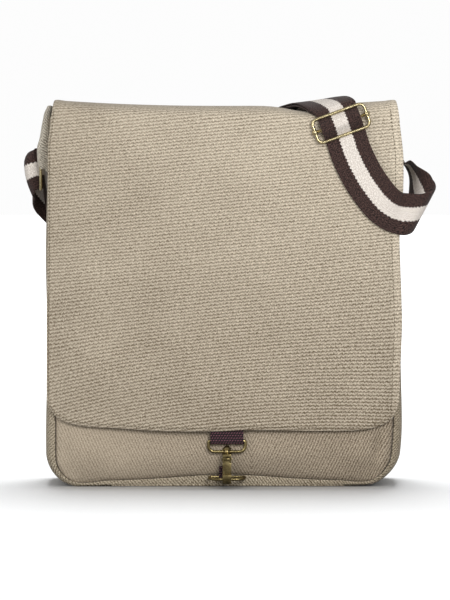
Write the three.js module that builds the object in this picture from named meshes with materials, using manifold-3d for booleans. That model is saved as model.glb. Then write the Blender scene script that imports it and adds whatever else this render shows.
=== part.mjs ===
// Canvas shoulder bag with a flap, a snap hook and a striped strap.
// Millimetres, +Z up, the front faces -Y, the origin is on the floor under the middle of the base.
import * as THREE from 'three';
import Module from 'manifold-3d';

const wasm = await Module();
wasm.setup();

// Cloth body
const cloth = 1.8;
const seamGap = 0.5;
const seamHalfWidth = 156;
const seamCorner = 24;
const seamHeight = 4;
const panelTop = 334;
const puffRound = 30;
const pullHeight = 8;
const pullCentre = 2.1;
const pullSpread = 66;
const pullFade = 25;
const gussetCrown = 1.2;
const gussetLip = 1.1;

// Flap
const flapClearance = 3.4;
const flapBackHem = 312;
const foldStart = 336;
const foldTopMiddle = 352.2;
const foldTopCornerRise = 5.4;
const hemLift = 1.6;
const hookLift = 5.2;
const hookLiftSpread = 70;
const hemLiftSpread = 60;
const hemHeight = 53;
const hemFade = 44;
const lowestEdge = 60;
const edgeDrop = 2.2;
const edgeDropStart = 150;
const edgeDropReach = 14;
const foldEdgeRise = 18;
const cornerRisePower = 2.2;

// Strap
const strapWidth = 38;
const strapThick = 1.5;
const legGap = 2.2;
const wireRadius = 1.3;
const airGap = 0.35;

// Hook
const hookX = 2.3;
const hookWidth = 8;
const pinHeight = 27.9;

// Half depth at the seam, puff of the two panels and bulge of the gusset at each height.
const bodyTable = [
  { key: 0, depth: 33.0, front: 7.0, back: 4.0, left: 8.2, right: 8.2 },
  { key: 60, depth: 34.6, front: 7.6, back: 4.5, left: 8.2, right: 8.2 },
  { key: 160, depth: 33.6, front: 6.6, back: 4.6, left: 7.8, right: 6.8 },
  { key: 250, depth: 30.2, front: 5.2, back: 4.0, left: 7.6, right: 2.6 },
  { key: 300, depth: 26.8, front: 4.0, back: 3.2, left: 7.0, right: -6.0 },
  { key: 345, depth: 23.0, front: 3.0, back: 2.4, left: 4.0, right: -8.0 },
];

// Flap outline seen from the front.
const flapEdgeTable = [
  { key: 60, left: -164.3, right: 161.4 },
  { key: 92, left: -164.3, right: 162.0 },
  { key: 149, left: -164.2, right: 164.0 },
  { key: 173, left: -164.0, right: 163.5 },
  { key: 234, left: -163.1, right: 161.6 },
  { key: 271, left: -163.0, right: 164.6 },
  { key: 305, left: -163.0, right: 165.0 },
  { key: 318, left: -162.6, right: 163.8 },
  { key: 338, left: -160.0, right: 161.4 },
  { key: 352, left: -158.2, right: 159.4 },
  { key: 360, left: -157.6, right: 158.6 },
];

// Height of the flap's hem across the front.
const hemTable = [
  { key: -164.3, height: 81 },
  { key: -162.6, height: 75.5 },
  { key: -154.7, height: 64.8 },
  { key: -135, height: 58.4 },
  { key: -95, height: 55.5 },
  { key: -55, height: 53.3 },
  { key: 0, height: 53.6 },
  { key: 20, height: 54.6 },
  { key: 86, height: 53.3 },
  { key: 125.7, height: 54.1 },
  { key: 142.8, height: 57.6 },
  { key: 155.6, height: 64.8 },
  { key: 161.4, height: 78 },
];

// Soft dents and swells of the flap: centre, reach each way and height outwards.
const swellTable = [
  { x: -105, z: 300, wide: 50, tall: 26, out: 1.5 },
  { x: -20, z: 322, wide: 70, tall: 14, out: -1.2 },
  { x: 60, z: 262, wide: 75, tall: 22, out: 1.3 },
  { x: -85, z: 205, wide: 60, tall: 30, out: -1.2 },
  { x: 95, z: 185, wide: 60, tall: 26, out: 1.6 },
  { x: 0, z: 140, wide: 80, tall: 24, out: -1.0 },
  { x: -110, z: 110, wide: 45, tall: 26, out: 1.2 },
  { x: 120, z: 105, wide: 36, tall: 28, out: -1.1 },
];

// Gusset from the front seam to the back seam: share of the half depth and of the bulge.
const gussetProfile = [
  { depth: -1.0, bulge: 0.0, crown: 0 },
  { depth: -0.93, bulge: 0.5, crown: 0 },
  { depth: -0.8, bulge: 0.86, crown: 0 },
  { depth: -0.6, bulge: 1.0, crown: 0.3 },
  { depth: 0.0, bulge: 1.0, crown: 1.0 },
  { depth: 0.6, bulge: 1.0, crown: 0.3 },
  { depth: 0.8, bulge: 0.86, crown: 0 },
  { depth: 0.93, bulge: 0.5, crown: 0 },
  { depth: 1.0, bulge: 0.0, crown: 0 },
];

/** Smooth value of one column of a table at a key. */
function readTable(table, column, key) {
  const last = table.length - 1;
  if (key <= table[0].key) return table[0][column];
  if (key >= table[last].key) return table[last][column];
  let row = 0;
  while (table[row + 1].key < key) row += 1;
  const slope = (index) => {
    const low = table[Math.max(0, index - 1)];
    const high = table[Math.min(last, index + 1)];
    return (high[column] - low[column]) / (high.key - low.key);
  };
  const span = table[row + 1].key - table[row].key;
  const t = (key - table[row].key) / span;
  const t2 = t * t;
  const t3 = t2 * t;
  return (2 * t3 - 3 * t2 + 1) * table[row][column]
    + (t3 - 2 * t2 + t) * span * slope(row)
    + (3 * t2 - 2 * t3) * table[row + 1][column]
    + (t3 - t2) * span * slope(row + 1);
}

const bell = (distance, reach) => Math.exp(-((distance / reach) ** 2));
const quarterRound = (distance) => Math.sin((Math.PI / 2) * Math.min(1, Math.max(0, distance / puffRound)));
const seamPull = (x) => pullHeight * bell(x - pullCentre, pullSpread);

/** Mesh geometry from positions and triangles. */
function geometryFrom(points, triangles) {
  const geometry = new THREE.BufferGeometry();
  const flat = points.flatMap((point) => [point.x, point.y, point.z]);
  geometry.setAttribute('position', new THREE.Float32BufferAttribute(flat, 3));
  geometry.setIndex(triangles.flat());
  geometry.computeVertexNormals();
  return geometry;
}

/** Closed wall of even thickness on a surface; side is +1 where du x dv points outwards. */
function sheetSolid(surface, uValues, vValues, thickness, side) {
  const step = 1e-3;
  const outer = [];
  const inner = [];
  for (const v of vValues) {
    for (const u of uValues) {
      const middle = surface(u, v);
      const du = surface(u + step, v).sub(surface(u - step, v));
      const dv = surface(u, v + step).sub(surface(u, v - step));
      const normal = du.cross(dv).normalize().multiplyScalar(side * thickness / 2);
      outer.push(middle.clone().add(normal));
      inner.push(middle.clone().sub(normal));
    }
  }
  const columns = uValues.length;
  const rows = vValues.length;
  const count = outer.length;
  const triangles = [];
  const quad = (a, b, c, d) => {
    if (side > 0) triangles.push([a, b, c], [a, c, d]);
    else triangles.push([a, c, b], [a, d, c]);
  };
  for (let row = 0; row + 1 < rows; row += 1) {
    for (let column = 0; column + 1 < columns; column += 1) {
      const a = row * columns + column;
      quad(a, a + 1, a + columns + 1, a + columns);
      quad(count + a, count + a + columns, count + a + columns + 1, count + a + 1);
    }
  }
  for (let column = 0; column + 1 < columns; column += 1) {
    const top = (rows - 1) * columns + column;
    quad(column, count + column, count + column + 1, column + 1);
    quad(top, top + 1, count + top + 1, count + top);
  }
  for (let row = 0; row + 1 < rows; row += 1) {
    const left = row * columns;
    const right = left + columns - 1;
    quad(left, left + columns, count + left + columns, count + left);
    quad(right, count + right, count + right + columns, right + columns);
  }
  return geometryFrom([...outer, ...inner], triangles);
}

/** Solid through a row of equal closed sections, with flat ends or joined into a ring. */
function loftSolid(sections, ring, returnsAt = sections.length) {
  const size = sections[0].length;
  const points = sections.flat();
  const triangles = [];
  const bands = ring ? sections.length : sections.length - 1;
  for (let band = 0; band < bands; band += 1) {
    const here = band * size;
    const next = ((band + 1) % sections.length) * size;
    for (let corner = 0; corner < size; corner += 1) {
      const after = (corner + 1) % size;
      const [a, b, c, d] = [here + corner, here + after, next + after, next + corner];
      // Both faces of a band, and a leg that comes back along it, share their diagonals to stay apart.
      if ((corner < size / 2) === (band < returnsAt)) triangles.push([a, b, c], [a, c, d]);
      else triangles.push([a, b, d], [b, c, d]);
    }
  }
  if (!ring) {
    const end = (sections.length - 1) * size;
    for (let corner = 1; corner + 1 < size; corner += 1) {
      triangles.push([0, corner + 1, corner], [end, end + corner, end + corner + 1]);
    }
  }
  const volume = triangles.reduce((sum, [a, b, c]) => (
    sum + points[a].dot(points[b].clone().cross(points[c]))), 0);
  return geometryFrom(points, volume > 0 ? triangles : triangles.map(([a, b, c]) => [a, c, b]));
}

/** Direction of travel along a row of points. */
function travel(points, index, ring) {
  const count = points.length;
  const before = ring ? (index + count - 1) % count : Math.max(0, index - 1);
  const after = ring ? (index + 1) % count : Math.min(count - 1, index + 1);
  return points[after].clone().sub(points[before]).normalize();
}

/** Round wire along a planar row of points; the plane normal is given. */
function wireSolid(points, radius, planeNormal, ring, sides = 8) {
  const sections = points.map((point, index) => {
    const tangent = travel(points, index, ring);
    const sideways = planeNormal.clone().cross(tangent).normalize();
    const up = tangent.clone().cross(sideways).normalize();
    return Array.from({ length: sides }, (unused, corner) => {
      const angle = (2 * Math.PI * corner) / sides;
      return point.clone()
        .addScaledVector(sideways, radius * Math.cos(angle))
        .addScaledVector(up, radius * Math.sin(angle));
    });
  });
  return loftSolid(sections, ring);
}

/** Rounded rectangle of points in the plane of two directions, with upper and lower corner sizes. */
function roundedLoop(centre, wide, tall, width, height, upper, lower, steps = 4) {
  const points = [];
  const quarters = [[1, 1, 0], [-1, 1, 90], [-1, -1, 180], [1, -1, 270]];
  for (const [signWide, signTall, start] of quarters) {
    const corner = signTall > 0 ? upper : lower;
    for (let step = 0; step <= steps; step += 1) {
      const angle = THREE.MathUtils.degToRad(start + (90 * step) / steps);
      const along = signWide * (width / 2 - corner) + corner * Math.cos(angle);
      const upward = signTall * (height / 2 - corner) + corner * Math.sin(angle);
      points.push(centre.clone().addScaledVector(wide, along).addScaledVector(tall, upward));
    }
  }
  return points;
}

/** Flat band along stations, each a middle point and the way of its straight line across. */
function bandSolid(stations, width, thickness, returnsAt) {
  const middles = stations.map((station) => station.middle);
  const sections = stations.map((station, index) => {
    const tangent = travel(middles, index, false);
    const across = station.across.clone().normalize();
    const face = across.clone().cross(tangent);
    const reach = width / (2 * face.length());
    face.normalize();
    const corners = [[-1, -1], [1, -1], [1, 1], [-1, 1]];
    return corners.map(([sideways, outwards]) => station.middle.clone()
      .addScaledVector(across, sideways * reach)
      .addScaledVector(face, (outwards * thickness) / 2));
  });
  return loftSolid(sections, false, returnsAt);
}

/** Manifold solid of a geometry, joined by position only. */
function solidOf(geometry) {
  const position = geometry.getAttribute('position');
  const index = geometry.getIndex();
  const inOrder = Array.from({ length: position.count }, (unused, at) => at);
  const mesh = new wasm.Mesh({
    numProp: 3,
    vertProperties: new Float32Array(position.array),
    triVerts: new Uint32Array(index ? index.array : inOrder),
  });
  mesh.merge();
  return new wasm.Manifold(mesh);
}

/** Geometry of a manifold solid. */
function geometryOf(solid) {
  const mesh = solid.getMesh();
  const geometry = new THREE.BufferGeometry();
  geometry.setAttribute('position', new THREE.BufferAttribute(new Float32Array(mesh.vertProperties), 3));
  geometry.setIndex(Array.from(mesh.triVerts));
  geometry.computeVertexNormals();
  return geometry;
}

const group = new THREE.Group();
const finishes = {
  canvas: { color: 0xa79b83, roughness: 0.9, metalness: 0 },
  webbing: { color: 0x4a3a3a, roughness: 0.85, metalness: 0 },
  plum: { color: 0x4b3340, roughness: 0.85, metalness: 0 },
  brass: { color: 0x8d7a45, roughness: 0.35, metalness: 1 },
};

/** Adds one named piece. */
function addPiece(name, geometry, finish) {
  const mesh = new THREE.Mesh(geometry, new THREE.MeshStandardMaterial(finishes[finish]));
  mesh.name = name;
  group.add(mesh);
}

// Front and back panels

const cornerRows = 5;
const lowestAngle = 6;
const panelHeights = [46, 66, 90, 120, 150, 185, 220, 250, 278, 300, 318, panelTop];
const panelColumns = [-1, -0.975, -0.93, -0.87, -0.78, -0.62, -0.45, -0.32, -0.21, -0.1, 0,
  0.1, 0.21, 0.32, 0.45, 0.62, 0.78, 0.87, 0.93, 0.975, 1];

/** Half width and height of a panel row: the round corner first, then straight up. */
function panelRow(v) {
  if (v <= cornerRows) {
    const angle = THREE.MathUtils.degToRad(lowestAngle + (90 - lowestAngle) * (v / cornerRows));
    return {
      half: seamHalfWidth - seamCorner + (seamCorner - seamGap) * Math.sin(angle),
      height: seamHeight + seamCorner - (seamCorner - seamGap) * Math.cos(angle),
    };
  }
  const heights = [seamHeight + seamCorner, ...panelHeights];
  const at = Math.min(v - cornerRows, heights.length - 1);
  const row = Math.min(Math.floor(at), heights.length - 2);
  const height = heights[row] + (heights[row + 1] - heights[row]) * (at - row);
  return { half: seamHalfWidth - seamGap, height };
}

/** Outward puff of a panel away from its seams. */
const puffShare = (x, half, z, seam) => quarterRound(half - Math.abs(x)) * quarterRound(z - seam);

/** Middle of a panel's cloth. */
function panelSurface(u, v, front) {
  const { half, height } = panelRow(v);
  const x = u * half;
  const lift = front ? seamPull(x) * Math.exp(-(height - seamHeight) / pullFade) : 0;
  const puff = readTable(bodyTable, front ? 'front' : 'back', height);
  const out = readTable(bodyTable, 'depth', height) + puff * puffShare(x, half, height, seamHeight);
  return new THREE.Vector3(x, front ? -out : out, height + lift);
}

const panelRows = Array.from({ length: cornerRows + 1 + panelHeights.length }, (unused, row) => row);
const frontPanel = (u, v) => panelSurface(u, v, true);
const backPanel = (u, v) => panelSurface(u, v, false);
addPiece('front_panel', sheetSolid(frontPanel, panelColumns, panelRows, cloth, 1), 'canvas');
addPiece('back_panel', sheetSolid(backPanel, panelColumns, panelRows, cloth, -1), 'canvas');

// Gusset round the sides and the bottom

const sideHeights = [panelTop + 8, 322, 306, 288, 264, 235, 200, 160, 120, 85, 55, seamHeight + seamCorner];
const cornerSteps = 5;
const bottomSteps = 18;

/** Seam stations from the top left, down, along the bottom and up to the top right. */
function gussetStations() {
  const stations = [];
  const straight = seamHalfWidth - seamCorner;
  const cornerAt = (side, share) => {
    const angle = (Math.PI / 2) * share;
    const out = new THREE.Vector3(side * Math.sin(angle), 0, -Math.cos(angle));
    const middle = new THREE.Vector3(side * straight, 0, seamHeight + seamCorner);
    return { seam: middle.addScaledVector(out, seamCorner), out, side, flat: 1 - share };
  };
  const sideAt = (side, height) => ({
    seam: new THREE.Vector3(side * seamHalfWidth, 0, height),
    out: new THREE.Vector3(side, 0, 0),
    side,
    flat: 0,
  });
  for (const height of sideHeights) stations.push(sideAt(-1, height));
  for (let step = 1; step <= cornerSteps; step += 1) stations.push(cornerAt(-1, 1 - step / cornerSteps));
  for (let step = 1; step < bottomSteps; step += 1) {
    const x = -straight + (2 * straight * step) / bottomSteps;
    const seam = new THREE.Vector3(x, 0, seamHeight);
    stations.push({ seam, out: new THREE.Vector3(0, 0, -1), side: 0, flat: 1 });
  }
  for (let step = 0; step < cornerSteps; step += 1) stations.push(cornerAt(1, step / cornerSteps));
  for (const height of [...sideHeights].reverse()) stations.push(sideAt(1, height));
  return stations;
}

/** Middle of the gusset's cloth at a station and a profile row. */
function gussetPoint(station, row) {
  const { seam, out, side, flat } = station;
  const sideBulge = readTable(bodyTable, side < 0 ? 'left' : 'right', seam.z);
  const bulge = flat * (seamHeight - cloth / 2) + (1 - flat) * (side === 0 ? 0 : sideBulge);
  const crown = (1 - flat) * gussetCrown * row.crown * Math.sign(sideBulge);
  const edge = gussetLip * (1 - row.bulge);
  const pull = row.depth < 0 && flat === 1 ? seamPull(seam.x) * (1 - row.bulge) : 0;
  const share = bulge < 0 ? Math.max(0, 2 * row.bulge - 1) : row.bulge;
  const away = bulge * share + crown + edge - pull;
  const depth = readTable(bodyTable, 'depth', seam.z) * row.depth;
  return seam.clone().addScaledVector(out, away).setY(depth);
}

/** Linear value between the rows of a list. */
function between(list, at, mix) {
  const low = Math.min(list.length - 2, Math.max(0, Math.floor(at)));
  return mix(list[low], list[low + 1], at - low);
}

const seamStations = gussetStations();
const gussetSurface = (u, v) => between(seamStations, v, (here, next, t) => {
  const at = (station) => between(gussetProfile, u, (low, high, share) => (
    gussetPoint(station, low).lerp(gussetPoint(station, high), share)));
  return at(here).lerp(at(next), t);
});
const profileRows = gussetProfile.map((unused, row) => row);
const stationRows = seamStations.map((unused, row) => row);
addPiece('gusset', sheetSolid(gussetSurface, profileRows, stationRows, cloth, -1), 'canvas');

// Flap: from its back hem over the top and down the front

const flapColumns = [-1, -0.99, -0.96, -0.915, -0.84, -0.72, -0.56, -0.38, -0.19, 0,
  0.19, 0.38, 0.56, 0.72, 0.84, 0.915, 0.96, 0.99, 1];
const flapBackHeights = [flapBackHem, 324];
const foldAngles = [0, 14, 30, 50, 70, 90, 110, 130, 150, 166, 180];
const flapFrontHeights = [322, 307, 290, 270, 248, 225, 200, 176, 152, 130, 112, 97, 84, 74, 66.5, 60, 55.5,
  hemHeight];
const foldSquareness = 0.75;

/** Middle of the flap's cloth in front of the bag, as a y value. */
function flapFront(x, z) {
  const puff = readTable(bodyTable, 'front', z) * quarterRound(seamHalfWidth - Math.abs(x));
  const lift = (hemLift + hookLift * bell(x - hookX, hookLiftSpread)) * bell(z - hemHeight, hemLiftSpread);
  const swell = swellTable.reduce((sum, row) => (
    sum + row.out * bell(x - row.x, row.wide) * bell(z - row.z, row.tall)), 0);
  const drop = edgeDrop * (Math.max(0, Math.abs(x) - edgeDropStart) / edgeDropReach) ** 2;
  return -(readTable(bodyTable, 'depth', z) + puff + flapClearance + lift + swell - drop);
}

/** Middle of the flap's cloth behind the bag, as a y value. */
function flapBack(x, z) {
  const puff = readTable(bodyTable, 'back', z) * quarterRound(seamHalfWidth - Math.abs(x));
  return readTable(bodyTable, 'depth', z) + puff + flapClearance;
}

/** Side edge of the flap at a height, for a column share from -1 to 1. */
const flapX = (u, z) => Math.abs(u) * readTable(flapEdgeTable, u < 0 ? 'left' : 'right', z);

/** Point of the flap on its back, in its fold or on its front. */
function flapPoint(u, row) {
  if (row.angle === undefined && row.back) {
    const x = flapX(u, row.height);
    return new THREE.Vector3(x, flapBack(x, row.height), row.height);
  }
  if (row.angle === undefined) {
    const outline = flapX(u, Math.max(row.height, lowestEdge));
    const fade = Math.max(0, 1 - (row.height - hemHeight) / hemFade);
    const height = row.height + (readTable(hemTable, 'height', outline) - hemHeight) * fade;
    return new THREE.Vector3(outline, flapFront(outline, height), height);
  }
  const angle = THREE.MathUtils.degToRad(row.angle);
  const share = Math.abs(Math.cos(angle)) ** foldSquareness;
  const rough = flapX(u, foldStart + foldEdgeRise * Math.sin(angle));
  const top = foldTopMiddle + foldTopCornerRise * Math.abs(u) ** cornerRisePower - cloth / 2;
  const height = foldStart + (top - foldStart) * Math.abs(Math.sin(angle)) ** foldSquareness;
  const depth = row.angle > 90 ? flapFront(rough, foldStart) : flapBack(rough, foldStart);
  return new THREE.Vector3(rough, depth * share, height);
}

const flapRows = [
  ...flapBackHeights.map((height) => ({ height, back: true })),
  ...foldAngles.map((angle) => ({ angle })),
  ...flapFrontHeights.map((height) => ({ height, back: false })),
];
const flapSurface = (u, v) => between(flapRows, v, (here, next, t) => (
  flapPoint(u, here).lerp(flapPoint(u, next), t)));
const flapSteps = flapRows.map((unused, row) => row);
addPiece('flap', sheetSolid(flapSurface, flapColumns, flapSteps, cloth, -1), 'canvas');

// Closure tab under the flap's hem, folded round the top of the hook's eye

const acrossX = new THREE.Vector3(1, 0, 0);
const tabWidth = 29.4;
const tabThick = 1.5;
const tabClearance = 0.65;
const tabTops = [78, 70, 62];
const tabHem = hemHeight + 1.5;
const tabLow = 49;
const tabBackLow = 50;
const tabBackTop = 62;
const eyeRadius = 1.5;
const eyeTop = 44.2;
const eyeLow = 34.2;
const eyeWidth = 33.8;
const tabFold = eyeRadius + airGap + tabThick / 2;
const tabBehind = (z) => flapFront(hookX, z) + cloth / 2 + tabClearance + tabThick / 2;
const tabFrontY = tabBehind(tabHem);
const eyeY = tabFrontY + tabFold;

/** Stations round a bar along X, from one angle to another, in degrees from +Y towards +Z. */
function turnStations(barY, barZ, radius, from, to, steps, x = hookX) {
  return Array.from({ length: steps + 1 }, (unused, step) => {
    const angle = THREE.MathUtils.degToRad(from + ((to - from) * step) / steps);
    const middle = new THREE.Vector3(x, barY + radius * Math.cos(angle), barZ + radius * Math.sin(angle));
    return { middle, across: acrossX };
  });
}

/** Stations of a cloth tab at one x, from y and z pairs. */
const tabStations = (rows, x = hookX) => rows.map(({ y, z }) => (
  { middle: new THREE.Vector3(x, y, z), across: acrossX }));

const tabUnderFlap = tabTops.map((z) => ({ y: tabBehind(z), z }));
addPiece('closure_tab', bandSolid([
  ...tabStations([...tabUnderFlap, { y: tabFrontY, z: tabHem }, { y: tabFrontY, z: tabLow }]),
  ...turnStations(eyeY, eyeTop, tabFold, 180, 360, 8),
  ...tabStations([{ y: eyeY + tabFold, z: tabBackLow }, { y: eyeY + tabFold, z: tabBackTop }]),
], tabWidth, tabThick), 'plum');

// Snap hook: eye with a boss, body with its swivel post and bow, gate on a pin

const bossRadius = 3.1;
const bossHalf = 1.5;
const postRadius = 1.4;
const ballRadius = 2.1;
const barThick = 2.2;
const bowY = eyeY - 2.1;
const bowZ = 10.3;
const bowRadius = 5.15;
const shankY = bowY + bowRadius;
const noseY = bowY - bowRadius;
const noseTop = 13.2;
const headLow = 29.6;
const headTop = 32.2;
const shankBend = 21;
const cheekThick = 1.3;
const gateWidth = hookWidth - 2 * cheekThick - 2 * airGap;
const pinRadius = 0.8;
const gateThick = 1.6;
const gateY = noseY + barThick / 2 + airGap + gateThick / 2;
const gateTip = 12.1;

/** Box solid from its middle and sizes. */
function boxAt(x, y, z, wide, deep, tall) {
  return solidOf(new THREE.BoxGeometry(wide, deep, tall).translate(x, y, z));
}

/** Round bar solid along X or Z. */
function roundAt(x, y, z, radius, length, along, sides = 16) {
  const geometry = new THREE.CylinderGeometry(radius, radius, length, sides);
  if (along === 'x') geometry.rotateZ(Math.PI / 2);
  else geometry.rotateX(Math.PI / 2);
  return solidOf(geometry.translate(x, y, z));
}

const eyeMiddle = new THREE.Vector3(hookX, eyeY, (eyeTop + eyeLow) / 2);
const upZ = new THREE.Vector3(0, 0, 1);
const backY = new THREE.Vector3(0, 1, 0);
const eyeLoop = roundedLoop(eyeMiddle, acrossX, upZ, eyeWidth, eyeTop - eyeLow, 1.8, 5.2);
const eyeWire = solidOf(wireSolid(eyeLoop, eyeRadius, backY, true));
const boss = roundAt(hookX, eyeY, eyeLow, bossRadius, 2 * bossHalf, 'z');
const postHole = roundAt(hookX, eyeY, eyeLow, postRadius + airGap, 12, 'z');
const slotCut = roundAt(hookX, eyeY, eyeLow + bossHalf + 3, bossRadius - 0.6, 6, 'z');
addPiece('hook_eye', geometryOf(eyeWire.add(boss).subtract(postHole).subtract(slotCut)), 'brass');

const bowSteps = 10;
const bowPath = [
  { y: shankY, z: headLow + 1 },
  { y: shankY, z: shankBend },
  ...Array.from({ length: bowSteps + 1 }, (unused, step) => {
    const angle = -(Math.PI * step) / bowSteps;
    return { y: bowY + bowRadius * Math.cos(angle), z: bowZ + bowRadius * Math.sin(angle) };
  }),
  { y: noseY, z: noseTop },
];
const bow = solidOf(bandSolid(tabStations(bowPath), hookWidth, barThick));
const headDeep = shankY - noseY + barThick;
const head = boxAt(hookX, bowY, (headLow + headTop) / 2, hookWidth, headDeep, headTop - headLow);
const cheekTall = headLow - pinHeight + 2.8;
const cheekShift = (hookWidth - cheekThick) / 2;
const cheekAt = (side) => boxAt(hookX + side * cheekShift, gateY, headLow - cheekTall / 2 + 0.2,
  cheekThick, 4.4, cheekTall + 0.4);
const pin = roundAt(hookX, gateY, pinHeight, pinRadius, hookWidth + 1.2, 'x', 12);
const postLength = eyeLow + bossHalf + 1.4 - headTop;
const post = roundAt(hookX, eyeY, headTop - 0.4 + (postLength + 0.4) / 2, postRadius, postLength + 0.4, 'z');
const ball = solidOf(new THREE.SphereGeometry(ballRadius, 14, 8)
  .translate(hookX, eyeY, eyeLow + bossHalf + airGap + ballRadius * 0.9));
const hookBody = bow.add(head).add(cheekAt(-1)).add(cheekAt(1)).add(pin).add(post).add(ball);
addPiece('hook_body', geometryOf(hookBody), 'brass');

const gateSplit = headLow - cheekTall - 0.6;
const barrel = roundAt(hookX, gateY, pinHeight, 1.55, gateWidth, 'x');
const gateUpper = boxAt(hookX, gateY, (pinHeight + gateSplit) / 2,
  gateWidth, gateThick, pinHeight - gateSplit);
const gateLower = boxAt(hookX, gateY, (gateSplit + gateTip) / 2, hookWidth, gateThick, gateSplit - gateTip);
const pinHole = roundAt(hookX, gateY, pinHeight, pinRadius + 0.2, gateWidth + 2, 'x', 12);
addPiece('hook_gate', geometryOf(barrel.add(gateUpper).add(gateLower).subtract(pinHole)), 'brass');

// Ring at the bottom seam and the tab that holds it

const ringRadius = 1.4;
const ringWidth = 32.4;
const ringFront = { y: bowY, z: bowZ - bowRadius + barThick / 2 + ringRadius + airGap + 0.6 };
const ringBack = { y: -37.6, z: 10.4 };
const ringOut = new THREE.Vector3(0, ringFront.y - ringBack.y, ringFront.z - ringBack.z);
const ringDeep = ringOut.length();
const ringMiddle = new THREE.Vector3(hookX, (ringFront.y + ringBack.y) / 2, (ringFront.z + ringBack.z) / 2);
ringOut.normalize();
const ringLoop = roundedLoop(ringMiddle, acrossX, ringOut, ringWidth, ringDeep, 8, 2);
const ringNormal = acrossX.clone().cross(ringOut);
addPiece('hook_ring', wireSolid(ringLoop, ringRadius, ringNormal, true), 'brass');

const ringTabX = -0.2;
const ringTabWidth = 12;
const ringTabThick = 1.2;
const ringFold = ringRadius + airGap + ringTabThick / 2;
const ringTabFront = [{ y: -39.6, z: 21 }, { y: -39.8, z: 16 }];
const ringTabEnd = { y: -35.2, z: ringBack.z - ringFold };
addPiece('ring_tab', bandSolid([
  ...tabStations(ringTabFront, ringTabX),
  ...turnStations(ringBack.y, ringBack.z, ringFold, 180, 270, 5, ringTabX),
  ...tabStations([ringTabEnd], ringTabX),
], ringTabWidth, ringTabThick), 'plum');

// Left side tab, folded round the front bar of the left ring

const vector = (x, y, z) => new THREE.Vector3(x, y, z);
const alongY = vector(0, 1, 0);
const leftBar = { x: -170.4, y: -3 };
const leftFold = 3.3;
const sideCloth = 1.4;
const leftTabHeights = [352.5, 345, 336, 326, 313, 300, 288];

// How far the left tab leans in towards the bag at each height.
const leanTable = [
  { key: 288, inwards: 0.4 },
  { key: 313, inwards: 0 },
  { key: 333, inwards: 1.8 },
  { key: 345, inwards: 4.0 },
  { key: 353, inwards: 6.0 },
];

const leftProfile = [
  { x: leftFold, y: 13 },
  { x: leftFold, y: 8 },
  ...[0, 30, 60, 90, 120, 150, 180].map((degrees) => {
    const angle = THREE.MathUtils.degToRad(degrees);
    return { x: leftFold * Math.cos(angle), y: leftBar.y - leftFold * Math.sin(angle) };
  }),
  { x: -leftFold, y: leftBar.y + 5.5 },
];
const leftTabSurface = (u, v) => between(leftTabHeights, v, (low, high, t) => {
  const height = low + (high - low) * t;
  return between(leftProfile, u, (here, next, share) => vector(
    leftBar.x + here.x + (next.x - here.x) * share + readTable(leanTable, 'inwards', height),
    here.y + (next.y - here.y) * share,
    height,
  ));
});
addPiece('side_tab_left', sheetSolid(leftTabSurface, leftProfile.map((unused, row) => row),
  leftTabHeights.map((unused, row) => row), sideCloth, -1), 'canvas');

const sideRingLength = 43;
const leftRingDeep = 15.4;
const leftRingOut = vector(-0.12, 0.993, 0).normalize();
const leftRingMiddle = vector(leftBar.x, leftBar.y, 296).addScaledVector(leftRingOut, leftRingDeep / 2);
const leftRingLoop = roundedLoop(leftRingMiddle, leftRingOut, upZ, leftRingDeep, sideRingLength, 3, 3);
const leftRingNormal = leftRingOut.clone().cross(upZ);
addPiece('strap_ring_left', wireSolid(leftRingLoop, wireRadius, leftRingNormal, true), 'brass');

// Right side tab and ring, tucked in behind the flap's edge

const rightInner = vector(156.4, 0, 316);
const rightOuter = vector(163.5, 0, 300.5);
const rightFold = wireRadius + airGap + sideCloth / 2;
const rightTabWidth = 34;
const rightTab = [
  vector(rightInner.x - rightFold, 0, 337),
  vector(rightInner.x - rightFold, 0, 326),
  ...[180, 216, 252, 288, 324, 360].map((degrees) => {
    const angle = THREE.MathUtils.degToRad(degrees);
    return rightInner.clone().add(vector(rightFold * Math.cos(angle), 0, rightFold * Math.sin(angle)));
  }),
  vector(rightInner.x + rightFold, 0, 333),
];
const rightStations = rightTab.map((middle) => ({ middle, across: alongY }));
addPiece('side_tab_right', bandSolid(rightStations, rightTabWidth, sideCloth), 'canvas');

const rightRingOut = rightOuter.clone().sub(rightInner);
const rightRingDeep = rightRingOut.length();
rightRingOut.normalize();
const rightRingMiddle = rightInner.clone().add(rightOuter).multiplyScalar(0.5);
const rightRingLoop = roundedLoop(rightRingMiddle, alongY, rightRingOut, sideRingLength, rightRingDeep, 3, 3);
const rightRingNormal = alongY.clone().cross(rightRingOut);
addPiece('strap_ring_right', wireSolid(rightRingLoop, wireRadius, rightRingNormal, true), 'brass');

// Slider: its own frame of across, down the strap and out from the flap

const sliderAcross = vector(0.94, 0, 0.342).normalize();
const sliderOut = vector(0, -0.985, 0.17);
sliderOut.addScaledVector(sliderAcross, -sliderOut.dot(sliderAcross)).normalize();
const sliderDown = sliderOut.clone().cross(sliderAcross).normalize();
if (sliderDown.z > 0) sliderDown.negate();
const sliderSeat = vector(107.4, flapFront(107.4, 335.7) - cloth / 2 - 1.6, 335.7);
const sliderPoint = (down, out) => sliderSeat.clone()
  .addScaledVector(sliderDown, down)
  .addScaledVector(sliderOut, out);
const barOut = 4.7;
const frameHalf = 11;
const frameTilt = 1.1;
const frameWidth = 50.4;
const frameTall = sliderPoint(-frameHalf, barOut + frameTilt).sub(sliderPoint(frameHalf, barOut - frameTilt));
const frameHeight = frameTall.length();
frameTall.normalize();
const frameNormal = sliderAcross.clone().cross(frameTall).normalize();
const frameMiddle = sliderPoint(0, barOut);
const frameLoop = roundedLoop(frameMiddle, sliderAcross, frameTall, frameWidth, frameHeight, 5, 5);
addPiece('slider_frame', wireSolid(frameLoop, wireRadius, frameNormal, true), 'brass');

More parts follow.
